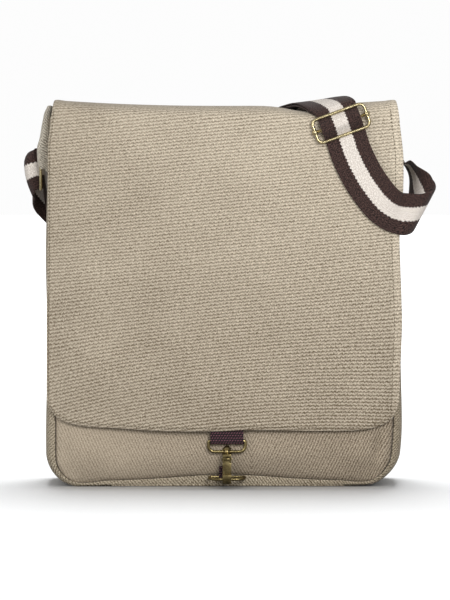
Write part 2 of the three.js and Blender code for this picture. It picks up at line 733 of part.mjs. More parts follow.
const placeSlider = new THREE.Matrix4()
  .makeBasis(sliderAcross, frameTall, frameNormal)
  .setPosition(frameMiddle);
const barTurn = new THREE.CylinderGeometry(wireRadius, wireRadius, frameWidth - 2, 12).rotateZ(Math.PI / 2);
const knobAt = (side, radius, length) => solidOf(new THREE.CylinderGeometry(radius, radius, length, 14)
  .translate((side * frameWidth) / 2, 0, 0).applyMatrix4(placeSlider));
const knobHole = wireRadius + airGap;
const sliderBar = solidOf(barTurn.applyMatrix4(placeSlider))
  .add(knobAt(-1, 2.7, 4)).add(knobAt(1, 2.7, 4))
  .subtract(knobAt(-1, knobHole, 8)).subtract(knobAt(1, knobHole, 8));
addPiece('slider_bar', geometryOf(sliderBar), 'brass');

// Strap: from its sewn end on the right ring, round the front, through the slider, over the top,
// behind the bag, round the left ring and back under itself to the slider's bar

const strapFold = wireRadius + airGap + strapThick / 2;
const leaveDown = vector(0.5, 0, -0.866);
const leaveUp = vector(0.866, 0, 0.5);
const onRightBar = (along, up) => ({
  middle: rightOuter.clone().addScaledVector(leaveDown, along).addScaledVector(leaveUp, up),
  across: vector(0, -1, 0),
});
const sewnEnd = [
  onRightBar(6, -strapFold),
  onRightBar(2, -strapFold),
  ...[-90, -135, -180, -225, -270].map((degrees) => {
    const angle = THREE.MathUtils.degToRad(degrees);
    return onRightBar(strapFold * Math.cos(angle), strapFold * Math.sin(angle));
  }),
  onRightBar(3, strapFold),
];

// Twist below the right ring: place and the way from the far edge to the near edge.
const rightTwist = [
  { at: [169.0, 0, 295.8], across: [0.02, -1, 0.01] },
  { at: [172.4, -1.5, 288.2], across: [0.16, -0.94, 0.3] },
  { at: [175.9, -7.0, 279.8], across: [0.37, -0.6, 0.71] },
];

// Turn at the bag's right side: a slanting bend round a leaning axis.
const bendAxis = vector(0.462, 0, 0.887);
const bendOut = vector(0.887, 0, -0.462);
const bendEdge = vector(184.7, -26, 256.6);
const bendRadius = 11;
const bendRise = 0.589;

/** Station of the bend, from 180 degrees behind to 0 in front. */
function bendStation(degrees) {
  const angle = THREE.MathUtils.degToRad(degrees);
  const middle = bendEdge.clone()
    .addScaledVector(bendOut, bendRadius * (Math.sin(angle) - 1))
    .addScaledVector(alongY, -bendRadius * Math.cos(angle))
    .addScaledVector(bendAxis, bendRadius * bendRise * (angle - Math.PI / 2));
  return { middle, across: bendAxis };
}

const rightBend = [180, 150, 120, 90, 60, 30, 0].map(bendStation);
const rows = (table) => table.map(({ at, across }) => ({ middle: vector(...at), across: vector(...across) }));

const strapRest = cloth / 2 + strapThick / 2 + 0.6;

/** Where a strap lies on the flap: clear of it right across the strap's width. */
function strapSeat(x, z, across) {
  const reach = [-0.5, -0.25, 0, 0.25, 0.5].map((share) => share * strapWidth);
  return Math.min(...reach.map((far) => flapFront(x + far * across[0], z + far * across[2]))) - strapRest;
}

const frontLeg = [
  { x: 162.5, z: 253.3, across: [0.16, 0, 0.98] },
  { x: 155.0, z: 256.0, across: [0.38, 0, 0.92] },
  { x: 148.5, z: 260.3, across: [0.54, 0, 0.84] },
  { x: 142.8, z: 265.8, across: [0.66, 0, 0.75] },
  { x: 130.6, z: 282.0, across: [0.8, 0, 0.6] },
  { x: 121.8, z: 297.6, across: [0.89, 0, 0.46] },
  { x: 115.8, z: 311.0, across: [0.93, 0, 0.37] },
].map(({ x, z, across }) => ({ middle: vector(x, strapSeat(x, z, across), z), across: vector(...across) }));

// Strap through the slider: way down the strap and way out from the flap.
const throughSlider = [
  { down: 14.5, out: 1.5 },
  { down: 11, out: 1.2 },
  { down: 9, out: 1.5 },
  { down: 5.2, out: 5.4 },
  { down: 3.2, out: 7.9 },
  { down: 1.4, out: 9.0 },
  { down: -0.6, out: 9.2 },
  { down: -3.2, out: 8.5 },
  { down: -7, out: 5.6 },
  { down: -9.5, out: 3.9 },
  { down: -11.5, out: 3.3 },
  { down: -15, out: 3.2 },
].map(({ down, out }) => ({ middle: sliderPoint(down, out), across: sliderAcross.clone(), apart: legGap }));

// Over the top and behind the bag to the left ring; apart is the room to the leg that comes back.
const behindBag = [
  { at: [97.5, -24.3, 357.6], across: [0.94, 0.22, 0.26], apart: 2.3 },
  { at: [91, -9, 360.6], across: [0.9, 0.42, 0.1], apart: 2.3 },
  { at: [83.5, 6, 361.2], across: [0.88, 0.45, -0.05], apart: 2.3 },
  { at: [75.5, 22, 358.2], across: [0.88, 0.3, -0.3], apart: 2.3 },
  { at: [66, 33.6, 347.5], across: [0.86, 0.1, -0.48], apart: 2.3 },
  { at: [53, 38.6, 330], across: [0.82, 0, -0.57], apart: 2.3 },
  { at: [25, 41, 297], across: [0.76, 0, -0.65], apart: 2.3 },
  { at: [-20, 43, 255], across: [0.55, 0, -0.83], apart: 2.4 },
  { at: [-65, 44, 233], across: [0.2, 0, -0.98], apart: 2.4 },
  { at: [-110, 44, 236.5], across: [-0.3, 0, -0.95], apart: 2.4 },
  { at: [-145, 43.5, 258], across: [0, 0, -1], apart: 3.0 },
  { at: [-168, 40, 275.3], across: [0, 0, -1], apart: 5.0 },
  { at: [-181, 31, 286], across: [0, 0, -1], apart: 10.5 },
  { at: [-186, 20, 292.2], across: [0, 0, -1], apart: 16.2 },
];
const outgoing = rows(behindBag).map((station, index) => ({ ...station, apart: behindBag[index].apart }));
const leftTurn = rows([
  { at: [-186.0, 12.5, 294.8], across: [0, 0, -1] },
  { at: [-182.6, 7.6, 295.9], across: [0, 0, -1] },
  { at: [-177.5, 6.2, 296.2], across: [0, 0, -1] },
  { at: [-172.4, 7.0, 296.2], across: [0, 0, -1] },
  { at: [-169.5, 10.6, 295.9], across: [0, 0, -1] },
  { at: [-169.3, 17, 294.2], across: [0, 0, -1] },
  { at: [-168.8, 24, 290.4], across: [0, 0, -1] },
  { at: [-167.0, 31.5, 284.6], across: [0, 0, -1] },
  { at: [-160.5, 37.6, 275.8], across: [0, 0, -1] },
]);

/** Places between the given stations, evenly along each stretch. */
function smoothStations(stations, steps) {
  const curve = new THREE.CatmullRomCurve3(stations.map((station) => station.middle), false, 'centripetal');
  const ways = new THREE.CatmullRomCurve3(stations.map((station) => station.across), false, 'catmullrom');
  const count = (stations.length - 1) * steps;
  return Array.from({ length: count + 1 }, (unused, index) => ({
    middle: curve.getPoint(index / count),
    across: ways.getPoint(index / count).normalize(),
    apart: between(stations, index / steps, (low, high, t) => low.apart + (high.apart - low.apart) * t),
  }));
}

/** The leg that comes back, under the leg that goes out. */
function legBack(stations) {
  const middles = stations.map((station) => station.middle);
  return stations.map((station, index) => {
    const tangent = travel(middles, index, false);
    const face = station.across.clone().cross(tangent).normalize();
    return { middle: station.middle.clone().addScaledVector(face, -station.apart), across: station.across };
  }).reverse();
}

const goingOut = smoothStations([...sewnEnd, ...rows(rightTwist), ...rightBend, ...frontLeg], 2);
const overSlider = smoothStations([...throughSlider, ...outgoing], 2);
const legsTogether = 23;
const legsParted = 45;
const comingBack = legBack(overSlider.slice(legsTogether, legsParted));
const barEnd = [
  { down: -15, out: 1.0 },
  { down: -11.2, out: 1.1 },
  { down: -8.5, out: 1.95 },
  { down: -5.7, out: 3.85 },
  { down: -2.2, out: 6.5 },
  { down: 0.4, out: barOut + strapFold },
  { down: 1.8, out: barOut + 0.68 * strapFold },
  { down: strapFold, out: barOut },
  { down: 1.7, out: barOut - 0.7 * strapFold },
  { down: 0, out: barOut - strapFold },
  { down: -4.6, out: 1.9 },
].map(({ down, out }) => ({ middle: sliderPoint(down, out), across: sliderAcross.clone() }));
const outEnd = overSlider[overSlider.length - 1];
const turnBack = smoothStations([outEnd, ...leftTurn, comingBack[0]], 2).slice(1, -1);
const wayOut = [...goingOut, ...overSlider, ...turnBack];
const wholeStrap = [...wayOut, ...comingBack, ...barEnd];
addPiece('strap', bandSolid(wholeStrap, strapWidth, strapThick, wayOut.length), 'webbing');

export default group;
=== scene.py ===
"""Canvas shoulder bag: cloth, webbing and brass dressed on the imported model, in metres."""

import logging
import math
from dataclasses import dataclass, field
from enum import Enum
from typing import Sequence

import bmesh
import bpy
import numpy as np
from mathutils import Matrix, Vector


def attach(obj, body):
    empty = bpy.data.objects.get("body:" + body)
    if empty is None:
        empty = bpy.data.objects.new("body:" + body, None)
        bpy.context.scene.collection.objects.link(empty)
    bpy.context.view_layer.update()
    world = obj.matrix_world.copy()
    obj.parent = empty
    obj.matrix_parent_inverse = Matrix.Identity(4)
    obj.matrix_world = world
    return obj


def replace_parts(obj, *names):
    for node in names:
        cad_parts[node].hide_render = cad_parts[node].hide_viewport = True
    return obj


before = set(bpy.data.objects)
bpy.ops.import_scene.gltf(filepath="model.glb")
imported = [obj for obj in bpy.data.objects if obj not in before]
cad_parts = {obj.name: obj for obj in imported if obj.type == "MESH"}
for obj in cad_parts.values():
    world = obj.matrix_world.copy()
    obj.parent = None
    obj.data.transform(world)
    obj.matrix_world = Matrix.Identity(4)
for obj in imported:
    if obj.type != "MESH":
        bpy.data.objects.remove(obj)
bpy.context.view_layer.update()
MM = 0.001
LOG = logging.getLogger("bag")
Array = np.ndarray
Colour = tuple[float, float, float]
Point = tuple[float, float, float]
Pair = tuple[float, float]
Bump = tuple[float, float, float, float, float]
X_WAY = np.array([1.0, 0.0, 0.0])
Y_WAY = np.array([0.0, 1.0, 0.0])
Z_WAY = np.array([0.0, 0.0, 1.0])


class Body(Enum):
    """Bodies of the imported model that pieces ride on."""

    BAG = "bag"
    GATE = "gate"


class Slot(Enum):
    """Names of material slots."""

    CANVAS = "canvas"
    WEBBING = "webbing"
    TAB = "tab_webbing"
    BRASS = "brass"


class FallsOn(Enum):
    """What a light falls on: the floor only, or everything but the floor."""

    FLOOR = "INCLUDE"
    REST = "EXCLUDE"


def linear(red: float, green: float, blue: float) -> tuple[float, float, float, float]:
    """Linear colour of a display colour given from 0 to 255.

    Args:
        red: Display red.
        green: Display green.
        blue: Display blue.

    Returns:
        Linear red, green, blue and a full alpha.
    """
    shares = [value / 255 for value in (red, green, blue)]
    parts = [s / 12.92 if s <= 0.04045 else ((s + 0.055) / 1.055) ** 2.4 for s in shares]
    return parts[0], parts[1], parts[2], 1.0


def bell(distance: Array, reach: float) -> Array:
    """Smooth bump of height one that fades over a reach."""
    return np.exp(-((distance / reach) ** 2))


def ease(low: float, high: float, value: Array) -> Array:
    """Smooth step from zero at low to one at high."""
    share = np.clip((value - low) / (high - low), 0, 1)
    return share * share * (3 - 2 * share)


@dataclass(frozen=True)
class Table:
    """Smooth curve through rows of a key and a value."""

    rows: tuple[Pair, ...]

    def at(self, key: Array | float) -> Array:
        """Value at one key or many.

        Args:
            key: Where to read.

        Returns:
            Values in the shape of the key.
        """
        keys = np.array([row[0] for row in self.rows], float)
        values = np.array([row[1] for row in self.rows], float)
        where = np.clip(np.asarray(key, float), keys[0], keys[-1])
        low = np.clip(np.searchsorted(keys, where, side="right") - 1, 0, len(keys) - 2)
        before = np.maximum(np.arange(len(keys)) - 1, 0)
        after = np.minimum(np.arange(len(keys)) + 1, len(keys) - 1)
        slopes = (values[after] - values[before]) / (keys[after] - keys[before])
        span = keys[low + 1] - keys[low]
        t = (where - keys[low]) / span
        start = (2 * t**3 - 3 * t**2 + 1) * values[low] + (t**3 - 2 * t**2 + t) * span * slopes[low]
        end = (3 * t**2 - 2 * t**3) * values[low + 1] + (t**3 - t**2) * span * slopes[low + 1]
        return start + end


class Nodes:
    """Node tree of one material, with short calls to make nodes."""

    def __init__(self, name: str) -> None:
        """Starts an empty material with one Principled shader.

        Args:
            name: Name of the material.
        """
        self.material = bpy.data.materials.new(name)
        self.material.use_nodes = True
        self.tree = self.material.node_tree
        self.shader = next(node for node in self.tree.nodes if node.type == "BSDF_PRINCIPLED")

    def make(self, kind: str, output: str | int = 0, **settings: object) -> "Value":
        """Adds one node.

        Args:
            kind: Blender's name of the node type.
            output: Which output to hand back.
            settings: Node properties, and inputs as in_<name or index>.

        Returns:
            The chosen output.
        """
        node = self.tree.nodes.new(kind)
        inputs = {key[3:]: value for key, value in settings.items() if key.startswith("in_")}
        for key, value in settings.items():
            if not key.startswith("in_"):
                setattr(node, key, value)
        for key, value in inputs.items():
            socket = node.inputs[int(key)] if key.isdigit() else node.inputs[key]
            self.feed(socket, value)
        return Value(self, node.outputs[output])

    def feed(self, socket: bpy.types.NodeSocket, value: object) -> None:
        """Links or sets one input.

        Args:
            socket: The input.
            value: Output of a node, or the plain value to set.
        """
        if isinstance(value, Value):
            self.tree.links.new(value.socket, socket)
        else:
            socket.default_value = value

    def place(self) -> tuple["Value", "Value"]:
        """Cloth coordinates of the surface.

        Returns:
            The first and the second coordinate, in millimetres.
        """
        layer = self.make("ShaderNodeUVMap", uv_map="cloth")
        first = self.make("ShaderNodeSeparateXYZ", in_0=layer)
        second = Value(self, first.socket.node.outputs[1])
        return first / MM, second / MM

    def join(self, x: "Value | float", y: "Value | float", z: "Value | float" = 0.0) -> "Value":
        """Vector of three numbers."""
        return self.make("ShaderNodeCombineXYZ", in_0=x, in_1=y, in_2=z)

    def noise(self, where: "Value", detail: float = 2.0, rough: float = 0.5) -> "Value":
        """Noise from zero to one, with features about one unit across."""
        return self.make("ShaderNodeTexNoise", in_Vector=where, in_Scale=1.0, in_Detail=detail,
                         in_Roughness=rough)

    def grain(self, scale: float, detail: float = 2.0, rough: float = 0.5) -> "Value":
        """Noise in the piece's own coordinates.

        Args:
            scale: Features for each metre.
            detail: Finer layers of the noise.
            rough: Strength of those layers.

        Returns:
            Noise from zero to one.
        """
        where = self.make("ShaderNodeTexCoord", "Object")
        scaled = self.make("ShaderNodeVectorMath", operation="SCALE", in_0=where, in_Scale=scale)
        return self.noise(scaled, detail, rough)

    def blend(self, share: "Value", low: object, high: object) -> "Value":
        """Colour between two colours.

        Args:
            share: Zero for the first colour and one for the second.
            low: First colour, plain or from a node.
            high: Second colour, plain or from a node.

        Returns:
            The mixed colour.
        """
        node = self.tree.nodes.new("ShaderNodeMix")
        node.data_type = "RGBA"
        self.feed(node.inputs[0], share)
        self.feed(node.inputs[6], low)
        self.feed(node.inputs[7], high)
        return Value(self, node.outputs[2])

    def bump(self, height: "Value", distance: float, strength: float = 1.0) -> None:
        """Feeds a height in millimetres to the shader's normal."""
        made = self.make("ShaderNodeBump", in_Height=height, in_Distance=distance * MM, in_Strength=strength)
        self.feed(self.shader.inputs["Normal"], made)

    def set(self, **values: object) -> None:
        """Sets or links shader inputs by name, with _ for a blank."""
        for key, value in values.items():
            self.feed(self.shader.inputs[key.replace("_", " ")], value)


@dataclass(frozen=True)
class Value:
    """Output of a shader node that takes part in sums."""

    nodes: Nodes
    socket: bpy.types.NodeSocket

    def math(self, kind: str, other: "Value | float" = 0.0, third: "Value | float" = 0.0) -> "Value":
        """Any Math node on this value."""
        return self.nodes.make("ShaderNodeMath", operation=kind, in_0=self, in_1=other, in_2=third)

    def __add__(self, other: "Value | float") -> "Value":
        """Sum."""
        return self.math("ADD", other)

    def __radd__(self, other: float) -> "Value":
        """Sum with a number first."""
        return self.math("ADD", other)

    def __sub__(self, other: "Value | float") -> "Value":
        """Difference."""
        return self.math("SUBTRACT", other)

    def __rsub__(self, other: float) -> "Value":
        """Difference from a number."""
        return (self * -1.0) + other

    def __mul__(self, other: "Value | float") -> "Value":
        """Product."""
        return self.math("MULTIPLY", other)

    def __rmul__(self, other: float) -> "Value":
        """Product with a number first."""
        return self.math("MULTIPLY", other)

    def __truediv__(self, other: "Value | float") -> "Value":
        """Quotient."""
        return self.math("DIVIDE", other)

    def wave(self, pitch: float) -> "Value":
        """Wave from zero to one that repeats at a pitch."""
        return (self * (2 * math.pi / pitch)).math("COSINE") * 0.5 + 0.5

    def clamp(self) -> "Value":
        """Kept between zero and one."""
        return self.math("MINIMUM", 1.0).math("MAXIMUM", 0.0)

    def step(self, low: float, high: float) -> "Value":
        """Smooth step from zero at low to one at high."""
        return self.nodes.make("ShaderNodeMapRange", interpolation_type="SMOOTHSTEP", in_0=self,
                               in_1=low, in_2=high)


@dataclass(frozen=True)
class CanvasFinish:
    """Khaki canvas: wavy ribs of weft crossed by a fine warp, with slubs, soft mottling and painted gradients
    of light and shade.

    Attributes:
        name: Name of the material.
        pitch: Distance between ribs, in millimetres.
        slant: Slope of the ribs, in degrees.
        bow: How much the ribs of the lower flap bow up towards the sides.
        contrast: Strength of the weave in the middle.
        soften: Change of that strength for each millimetre to the right.
        fade: Change of tone for each millimetre along the second cloth coordinate, a painted gradient of
            light and shade.
        painted_shade_drift: Change of tone for each millimetre to the right, a painted gradient of light and
            shade.
        cross: Change of tone for each square millimetre between both coordinates, painted light and shade
            too.
        mirror: Place across at which the slant turns over.
        hem: Place across from which the hem is lighter, a painted highlight along the edge, or zero for none.
        dark: Colour between the ribs.
        light: Colour on top of the ribs.
    """

    name: str
    pitch: float = 1.95
    slant: float = 0.0
    bow: float = 0.0
    contrast: float = 1.0
    soften: float = 0.0
    fade: float = 0.0
    painted_shade_drift: float = 0.0
    cross: float = 0.0
    mirror: float = 999.0
    hem: float = 0.0
    dark: Colour = (96, 82, 63)
    light: Colour = (244, 230, 205)

    def make(self) -> bpy.types.Material:
        """Builds the material.

        Returns:
            The finished material.
        """
        n = Nodes(self.name)
        u, v = n.place()
        turn = math.radians(self.slant)
        side = (u - self.mirror).math("ABSOLUTE") * -1.0
        along = side * math.cos(turn) + v * math.sin(turn)
        across = v * math.cos(turn) - side * math.sin(turn)
        bowed = u * u * v.step(-230.0, -380.0) * self.bow
        slow_sway = n.noise(n.join(along * 0.012, across * 0.02)) * 1.2
        quick_sway = n.noise(n.join(along * 0.07, across * 0.07)) * 1.1
        level = across + bowed + (slow_sway + quick_sway)
        warp = along - level * 0.29 + n.noise(n.join(along * 0.13, across * 0.13, 7.0)) * 6.0
        crimp = warp.wave(self.pitch * 1.25)
        rows = level + crimp * (self.pitch * 0.22)
        rib = rows.wave(self.pitch)
        slub = n.noise(n.join(along * 0.3, rows * (1.0 / self.pitch), 3.0), 1.0)
        fleck = n.noise(n.join(along * 0.9, rows * 1.3, 11.0), 1.0)
        mottle = n.noise(n.join(along * 0.018, across * 0.022, 5.0), 3.0)
        weave = (rib - 0.5) * 0.6 + (crimp - 0.5) * 0.1 + (slub - 0.5) * 0.6 + (fleck - 0.5) * 2.0
        tone = weave * (u * self.soften + self.contrast) + (mottle - 0.5) * 0.16
        # Painted light and shade: fade, drift and cross change the tone along and across the cloth as the
        # light falls.
        tone = tone + v * self.fade + u * self.painted_shade_drift + u * v * self.cross
        # Painted highlight: the hem band along the flap's right edge is lighter.
        if self.hem:
            tone = tone + u.step(self.hem - 1.0, self.hem + 2.0) * 0.08
        share = (tone * 1.2 + 0.5).clamp()
        n.set(Base_Color=n.blend(share, linear(*self.dark), linear(*self.light)))
        n.set(Roughness=0.9 - rib * 0.06)
        n.set(Specular_IOR_Level=0.2, Sheen_Weight=0.08, Sheen_Roughness=0.5)
        n.bump(rib * 0.35 + crimp * 0.25 + slub * 0.3 + fleck * 0.7, 0.4, 0.7)
        return n.material


@dataclass(frozen=True)
class WebbingFinish:
    """Striped webbing: dark, cream and dark thirds with toothed borders and a twill rib.

    Attributes:
        name: Name of the material.
        width: Width of the webbing, in millimetres.
        tooth: Distance between the teeth of a stripe's border.
        browns: Colours between and on top of the dark threads.
        creams: Colours between and on top of the light threads.
    """

    name: str = "striped webbing"
    width: float = 38.0
    tooth: float = 3.3
    browns: tuple[Colour, Colour] = ((20, 11, 10), (92, 68, 62))
    creams: tuple[Colour, Colour] = ((204, 194, 184), (250, 243, 235))

    def make(self) -> bpy.types.Material:
        """Builds the material.

        Returns:
            The finished material.
        """
        n = Nodes(self.name)
        along, across = n.place()
        border = self.width / 6
        uneven = along + (n.noise(n.join(along * 0.35, across * 0.1, 4.0)) - 0.5) * 3.0
        teeth = ((uneven / self.tooth).math("PINGPONG", 0.5) - 0.25) * 2.2
        fray = (n.noise(n.join(along * 0.8, across * 0.8)) - 0.5) * 1.3
        inside = (across.math("ABSOLUTE") + teeth + fray).step(border + 0.4, border - 0.4)
        twill = (along + across * 0.9).wave(1.9)
        ribs = across.wave(1.6)
        thread = n.noise(n.join(along * 0.7, across * 1.1, 2.0), 2.0)
        fleck = n.noise(n.join(along * 0.75, across * 0.9, 9.0), 1.0)
        tone = (twill * 0.3 + ribs * 0.2 + (thread - 0.5) * 1.5 + (fleck - 0.5) * 2.2 + 0.1).clamp()
        stripes = (self.browns, self.creams)
        brown, cream = (n.blend(tone, linear(*low), linear(*high)) for low, high in stripes)
        n.set(Base_Color=n.blend(inside, brown, cream))
        n.set(Roughness=0.86 - twill * 0.08)
        n.set(Specular_IOR_Level=0.25, Sheen_Weight=0.1)
        n.bump(twill * 0.6 + ribs * 0.4 + thread * 0.5 + fleck * 0.6, 0.35, 0.8)
        return n.material


@dataclass(frozen=True)
class TabFinish:
    """Plum webbing with small raised blocks in rows.

    Attributes:
        name: Name of the material.
        row: Distance between rows of blocks, in millimetres.
        block: Distance between blocks in a row.
        dark: Colour between the blocks.
        light: Colour on top of the blocks.
    """

    name: str = "plum webbing"
    row: float = 2.3
    block: float = 2.5
    dark: Colour = (7, 0, 3)
    light: Colour = (120, 74, 86)

    def make(self) -> bpy.types.Material:
        """Builds the material.

        Returns:
            The finished material.
        """
        n = Nodes(self.name)
        along, across = n.place()
        row = along / self.row
        rows = row.math("FRACT").math("PINGPONG", 0.5) * 2.0
        lean = across + row.math("FRACT") * 1.6 + row.math("FLOOR") * 1.35
        blocks = lean.wave(self.block)
        thread = n.noise(n.join(along * 0.9, across * 0.9), 2.0)
        tone = (rows.step(0.2, 0.8) * blocks.step(0.2, 0.8) + (thread - 0.5) * 0.7).clamp()
        n.set(Base_Color=n.blend(tone, linear(*self.dark), linear(*self.light)))
        n.set(Roughness=0.85 - rows * 0.1)
        n.bump(rows.step(0.0, 0.8) * blocks + thread * 0.4, 0.8, 0.9)
        return n.material


@dataclass(frozen=True)
class BrassFinish:
    """Antique brass: brown tarnish in patches over a satin yellow metal.

    Attributes:
        name: Name of the material.
        bright: Colour of the worn metal.
        tarnish: Colour of the patches.
        wear: How much of the tarnish is worn off.
    """

    name: str
    bright: Colour = (190, 172, 122)
    tarnish: Colour = (62, 50, 28)
    wear: float = 0.5

    def make(self) -> bpy.types.Material:
        """Builds the material.

        Returns:
            The finished material.
        """
        n = Nodes(self.name)
        patch = n.grain(130.0, 3.0, 0.6)
        grain = n.grain(1500.0)
        worn = (patch * 1.5 - 0.6 + self.wear * 0.5).clamp()
        n.set(Base_Color=n.blend(worn, linear(*self.tarnish), linear(*self.bright)))
        n.set(Metallic=0.94 + grain * 0.06)
        n.set(Roughness=0.34 - worn * 0.14 + (grain - 0.5) * 0.1)
        n.bump(grain * 0.3 + patch * 0.5, 0.05, 0.5)
        return n.material


@dataclass(frozen=True)
class ThreadFinish:
    """Sewing thread with a fine twist.

    Attributes:
        name: Name of the material.
        colour: Colour of the thread.
        shade: Share of that colour in the twist's hollows.
    """

    name: str
    colour: Colour
    shade: float = 0.72

    def make(self) -> bpy.types.Material:
        """Builds the material.

        Returns:
            The finished material.
        """
        n = Nodes(self.name)
        grain = n.grain(1800.0)
        hollow = [self.shade * value for value in self.colour]
        n.set(Base_Color=n.blend(grain, linear(*hollow), linear(*self.colour)))
        n.set(Roughness=0.7 + grain * 0.2)
        n.bump(grain, 0.1, 0.5)
        return n.material


@dataclass
class Grid:
    """Sheet of cloth as rows and columns of points.

    Attributes:
        middle: Points midway through the cloth, in millimetres.
        cloth: Two cloth coordinates of each point, in millimetres.
        half: Half of the cloth's thickness at each point.
    """

    middle: Array
    cloth: Array
    half: Array

    def normals(self) -> Array:
        """Normals of the sheet, square to the ways along its rows and columns.

        Returns:
            A vector of length one for each point.
        """
        across = np.gradient(self.middle, axis=1)
        along = np.gradient(self.middle, axis=0)
        normal = np.cross(across, along)
        return normal / np.maximum(np.linalg.norm(normal, axis=2, keepdims=True), 1e-9)

    def flat(self) -> tuple[float, float, float]:
        """Size of the cloth when it is laid flat.

        Returns:
            Width and length in metres, and area in square metres.
        """
        across = np.linalg.norm(np.diff(self.middle, axis=1), axis=2)
        along = np.linalg.norm(np.diff(self.middle, axis=0), axis=2)
        first = self.middle[1:, 1:] - self.middle[:-1, :-1]
        second = self.middle[1:, :-1] - self.middle[:-1, 1:]
        area = 0.5 * np.linalg.norm(np.cross(first, second), axis=2).sum() * MM * MM
        width = float(across.sum(axis=1).max()) * MM
        length = float(along.sum(axis=0).max()) * MM
        return width, length, float(min(area, width * length))

    def build(self, name: str, outward: int) -> bpy.types.Object:
        """Makes a closed wall of the grid's thickness.

        Args:
            name: Name of the piece.
            outward: Plus one where the grid's normals point out of the bag.

        Returns:
            The mesh object, smooth shaded, with its cloth coordinates.
        """
        normal = self.normals() * outward
        rows, columns = self.half.shape
        reach = normal * self.half[..., None]
        points = np.concatenate([(self.middle + side * reach).reshape(-1, 3) for side in (1, -1)])
        count = rows * columns
        at = np.arange(count).reshape(rows, columns)
        top = np.stack([at[:-1, :-1], at[:-1, 1:], at[1:, 1:], at[1:, :-1]], axis=-1).reshape(-1, 4)
        faces = [top, top[:, ::-1] + count]
        rim = np.concatenate([at[0, :], at[1:, -1], at[-1, -2::-1], at[-2:0:-1, 0]])
        after = np.roll(rim, -1)
        faces.append(np.stack([after, rim, rim + count, after + count], axis=-1))
        quads = np.concatenate(faces)
        if outward < 0:
            quads = quads[:, ::-1]
        cloth = np.concatenate([self.cloth.reshape(-1, 2)] * 2) * MM
        return mesh_object(name, points * MM, quads, cloth)


def mesh_object(name: str, points: Array, faces: Array, cloth: Array | None = None) -> bpy.types.Object:
    """Smooth mesh object of points and equal faces.

    Args:
        name: Name of the object.
        points: Places in metres.
        faces: Corner numbers of each face.
        cloth: Cloth coordinates of each point, in metres.

    Returns:
        The object, linked to the scene.
    """
    mesh = bpy.data.meshes.new(name)
    mesh.from_pydata(points.tolist(), [], faces.tolist())
    if cloth is not None:
        layer = mesh.uv_layers.new(name="cloth")
        corners = np.empty(len(mesh.loops), dtype=np.int32)
        mesh.loops.foreach_get("vertex_index", corners)
        layer.data.foreach_set("uv", cloth[corners].astype(np.float32).ravel())
    mesh.polygons.foreach_set("use_smooth", np.ones(len(mesh.polygons), dtype=bool))
    mesh.update()
    made = bpy.data.objects.new(name, mesh)
    bpy.context.scene.collection.objects.link(made)
    return made


def spread(stops: Sequence[float], step: float) -> Array:
    """Even values between stops, with every stop kept.

    Args:
        stops: Values that have to be there, in order.
        step: Largest distance between two values.

    Returns:
        The values, in order.
    """
    parts = []
    for start, end in zip(stops, stops[1:]):
        count = max(1, math.ceil(abs(end - start) / step))
        parts.append(np.linspace(start, end, count, endpoint=False))
    return np.concatenate([*parts, [stops[-1]]])


def lengths(points: Array) -> Array:
    """Distance walked along a row of points."""
    return np.concatenate([[0.0], np.cumsum(np.linalg.norm(np.diff(points, axis=0), axis=1))])


def dress(piece: bpy.types.Object, material: bpy.types.Material,
          body: Body = Body.BAG) -> bpy.types.Object:
    """Gives a piece its material and the body that it rides on.

    Args:
        piece: The mesh object.
        material: Its finish.
        body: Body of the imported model.

    Returns:
        The same piece.
    """
    piece.data.materials.clear()
    piece.data.materials.append(material)
    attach(piece, body.value)
    LOG.info("%s: %d faces", piece.name, len(piece.data.polygons))
    return piece


def swell(bumps: Sequence[Bump], x: Array, z: Array) -> Array:
    """Sum of soft bumps, each of a centre x and z, a reach each way and a height."""
    return sum(out * bell(x - cx, wide) * bell(z - cz, tall) for cx, cz, wide, tall, out in bumps)


def profile(values: Sequence[float], row: Array) -> Array:
    """Smooth curve through values at rows that are numbered from zero."""
    return Table(tuple(enumerate(values))).at(row)


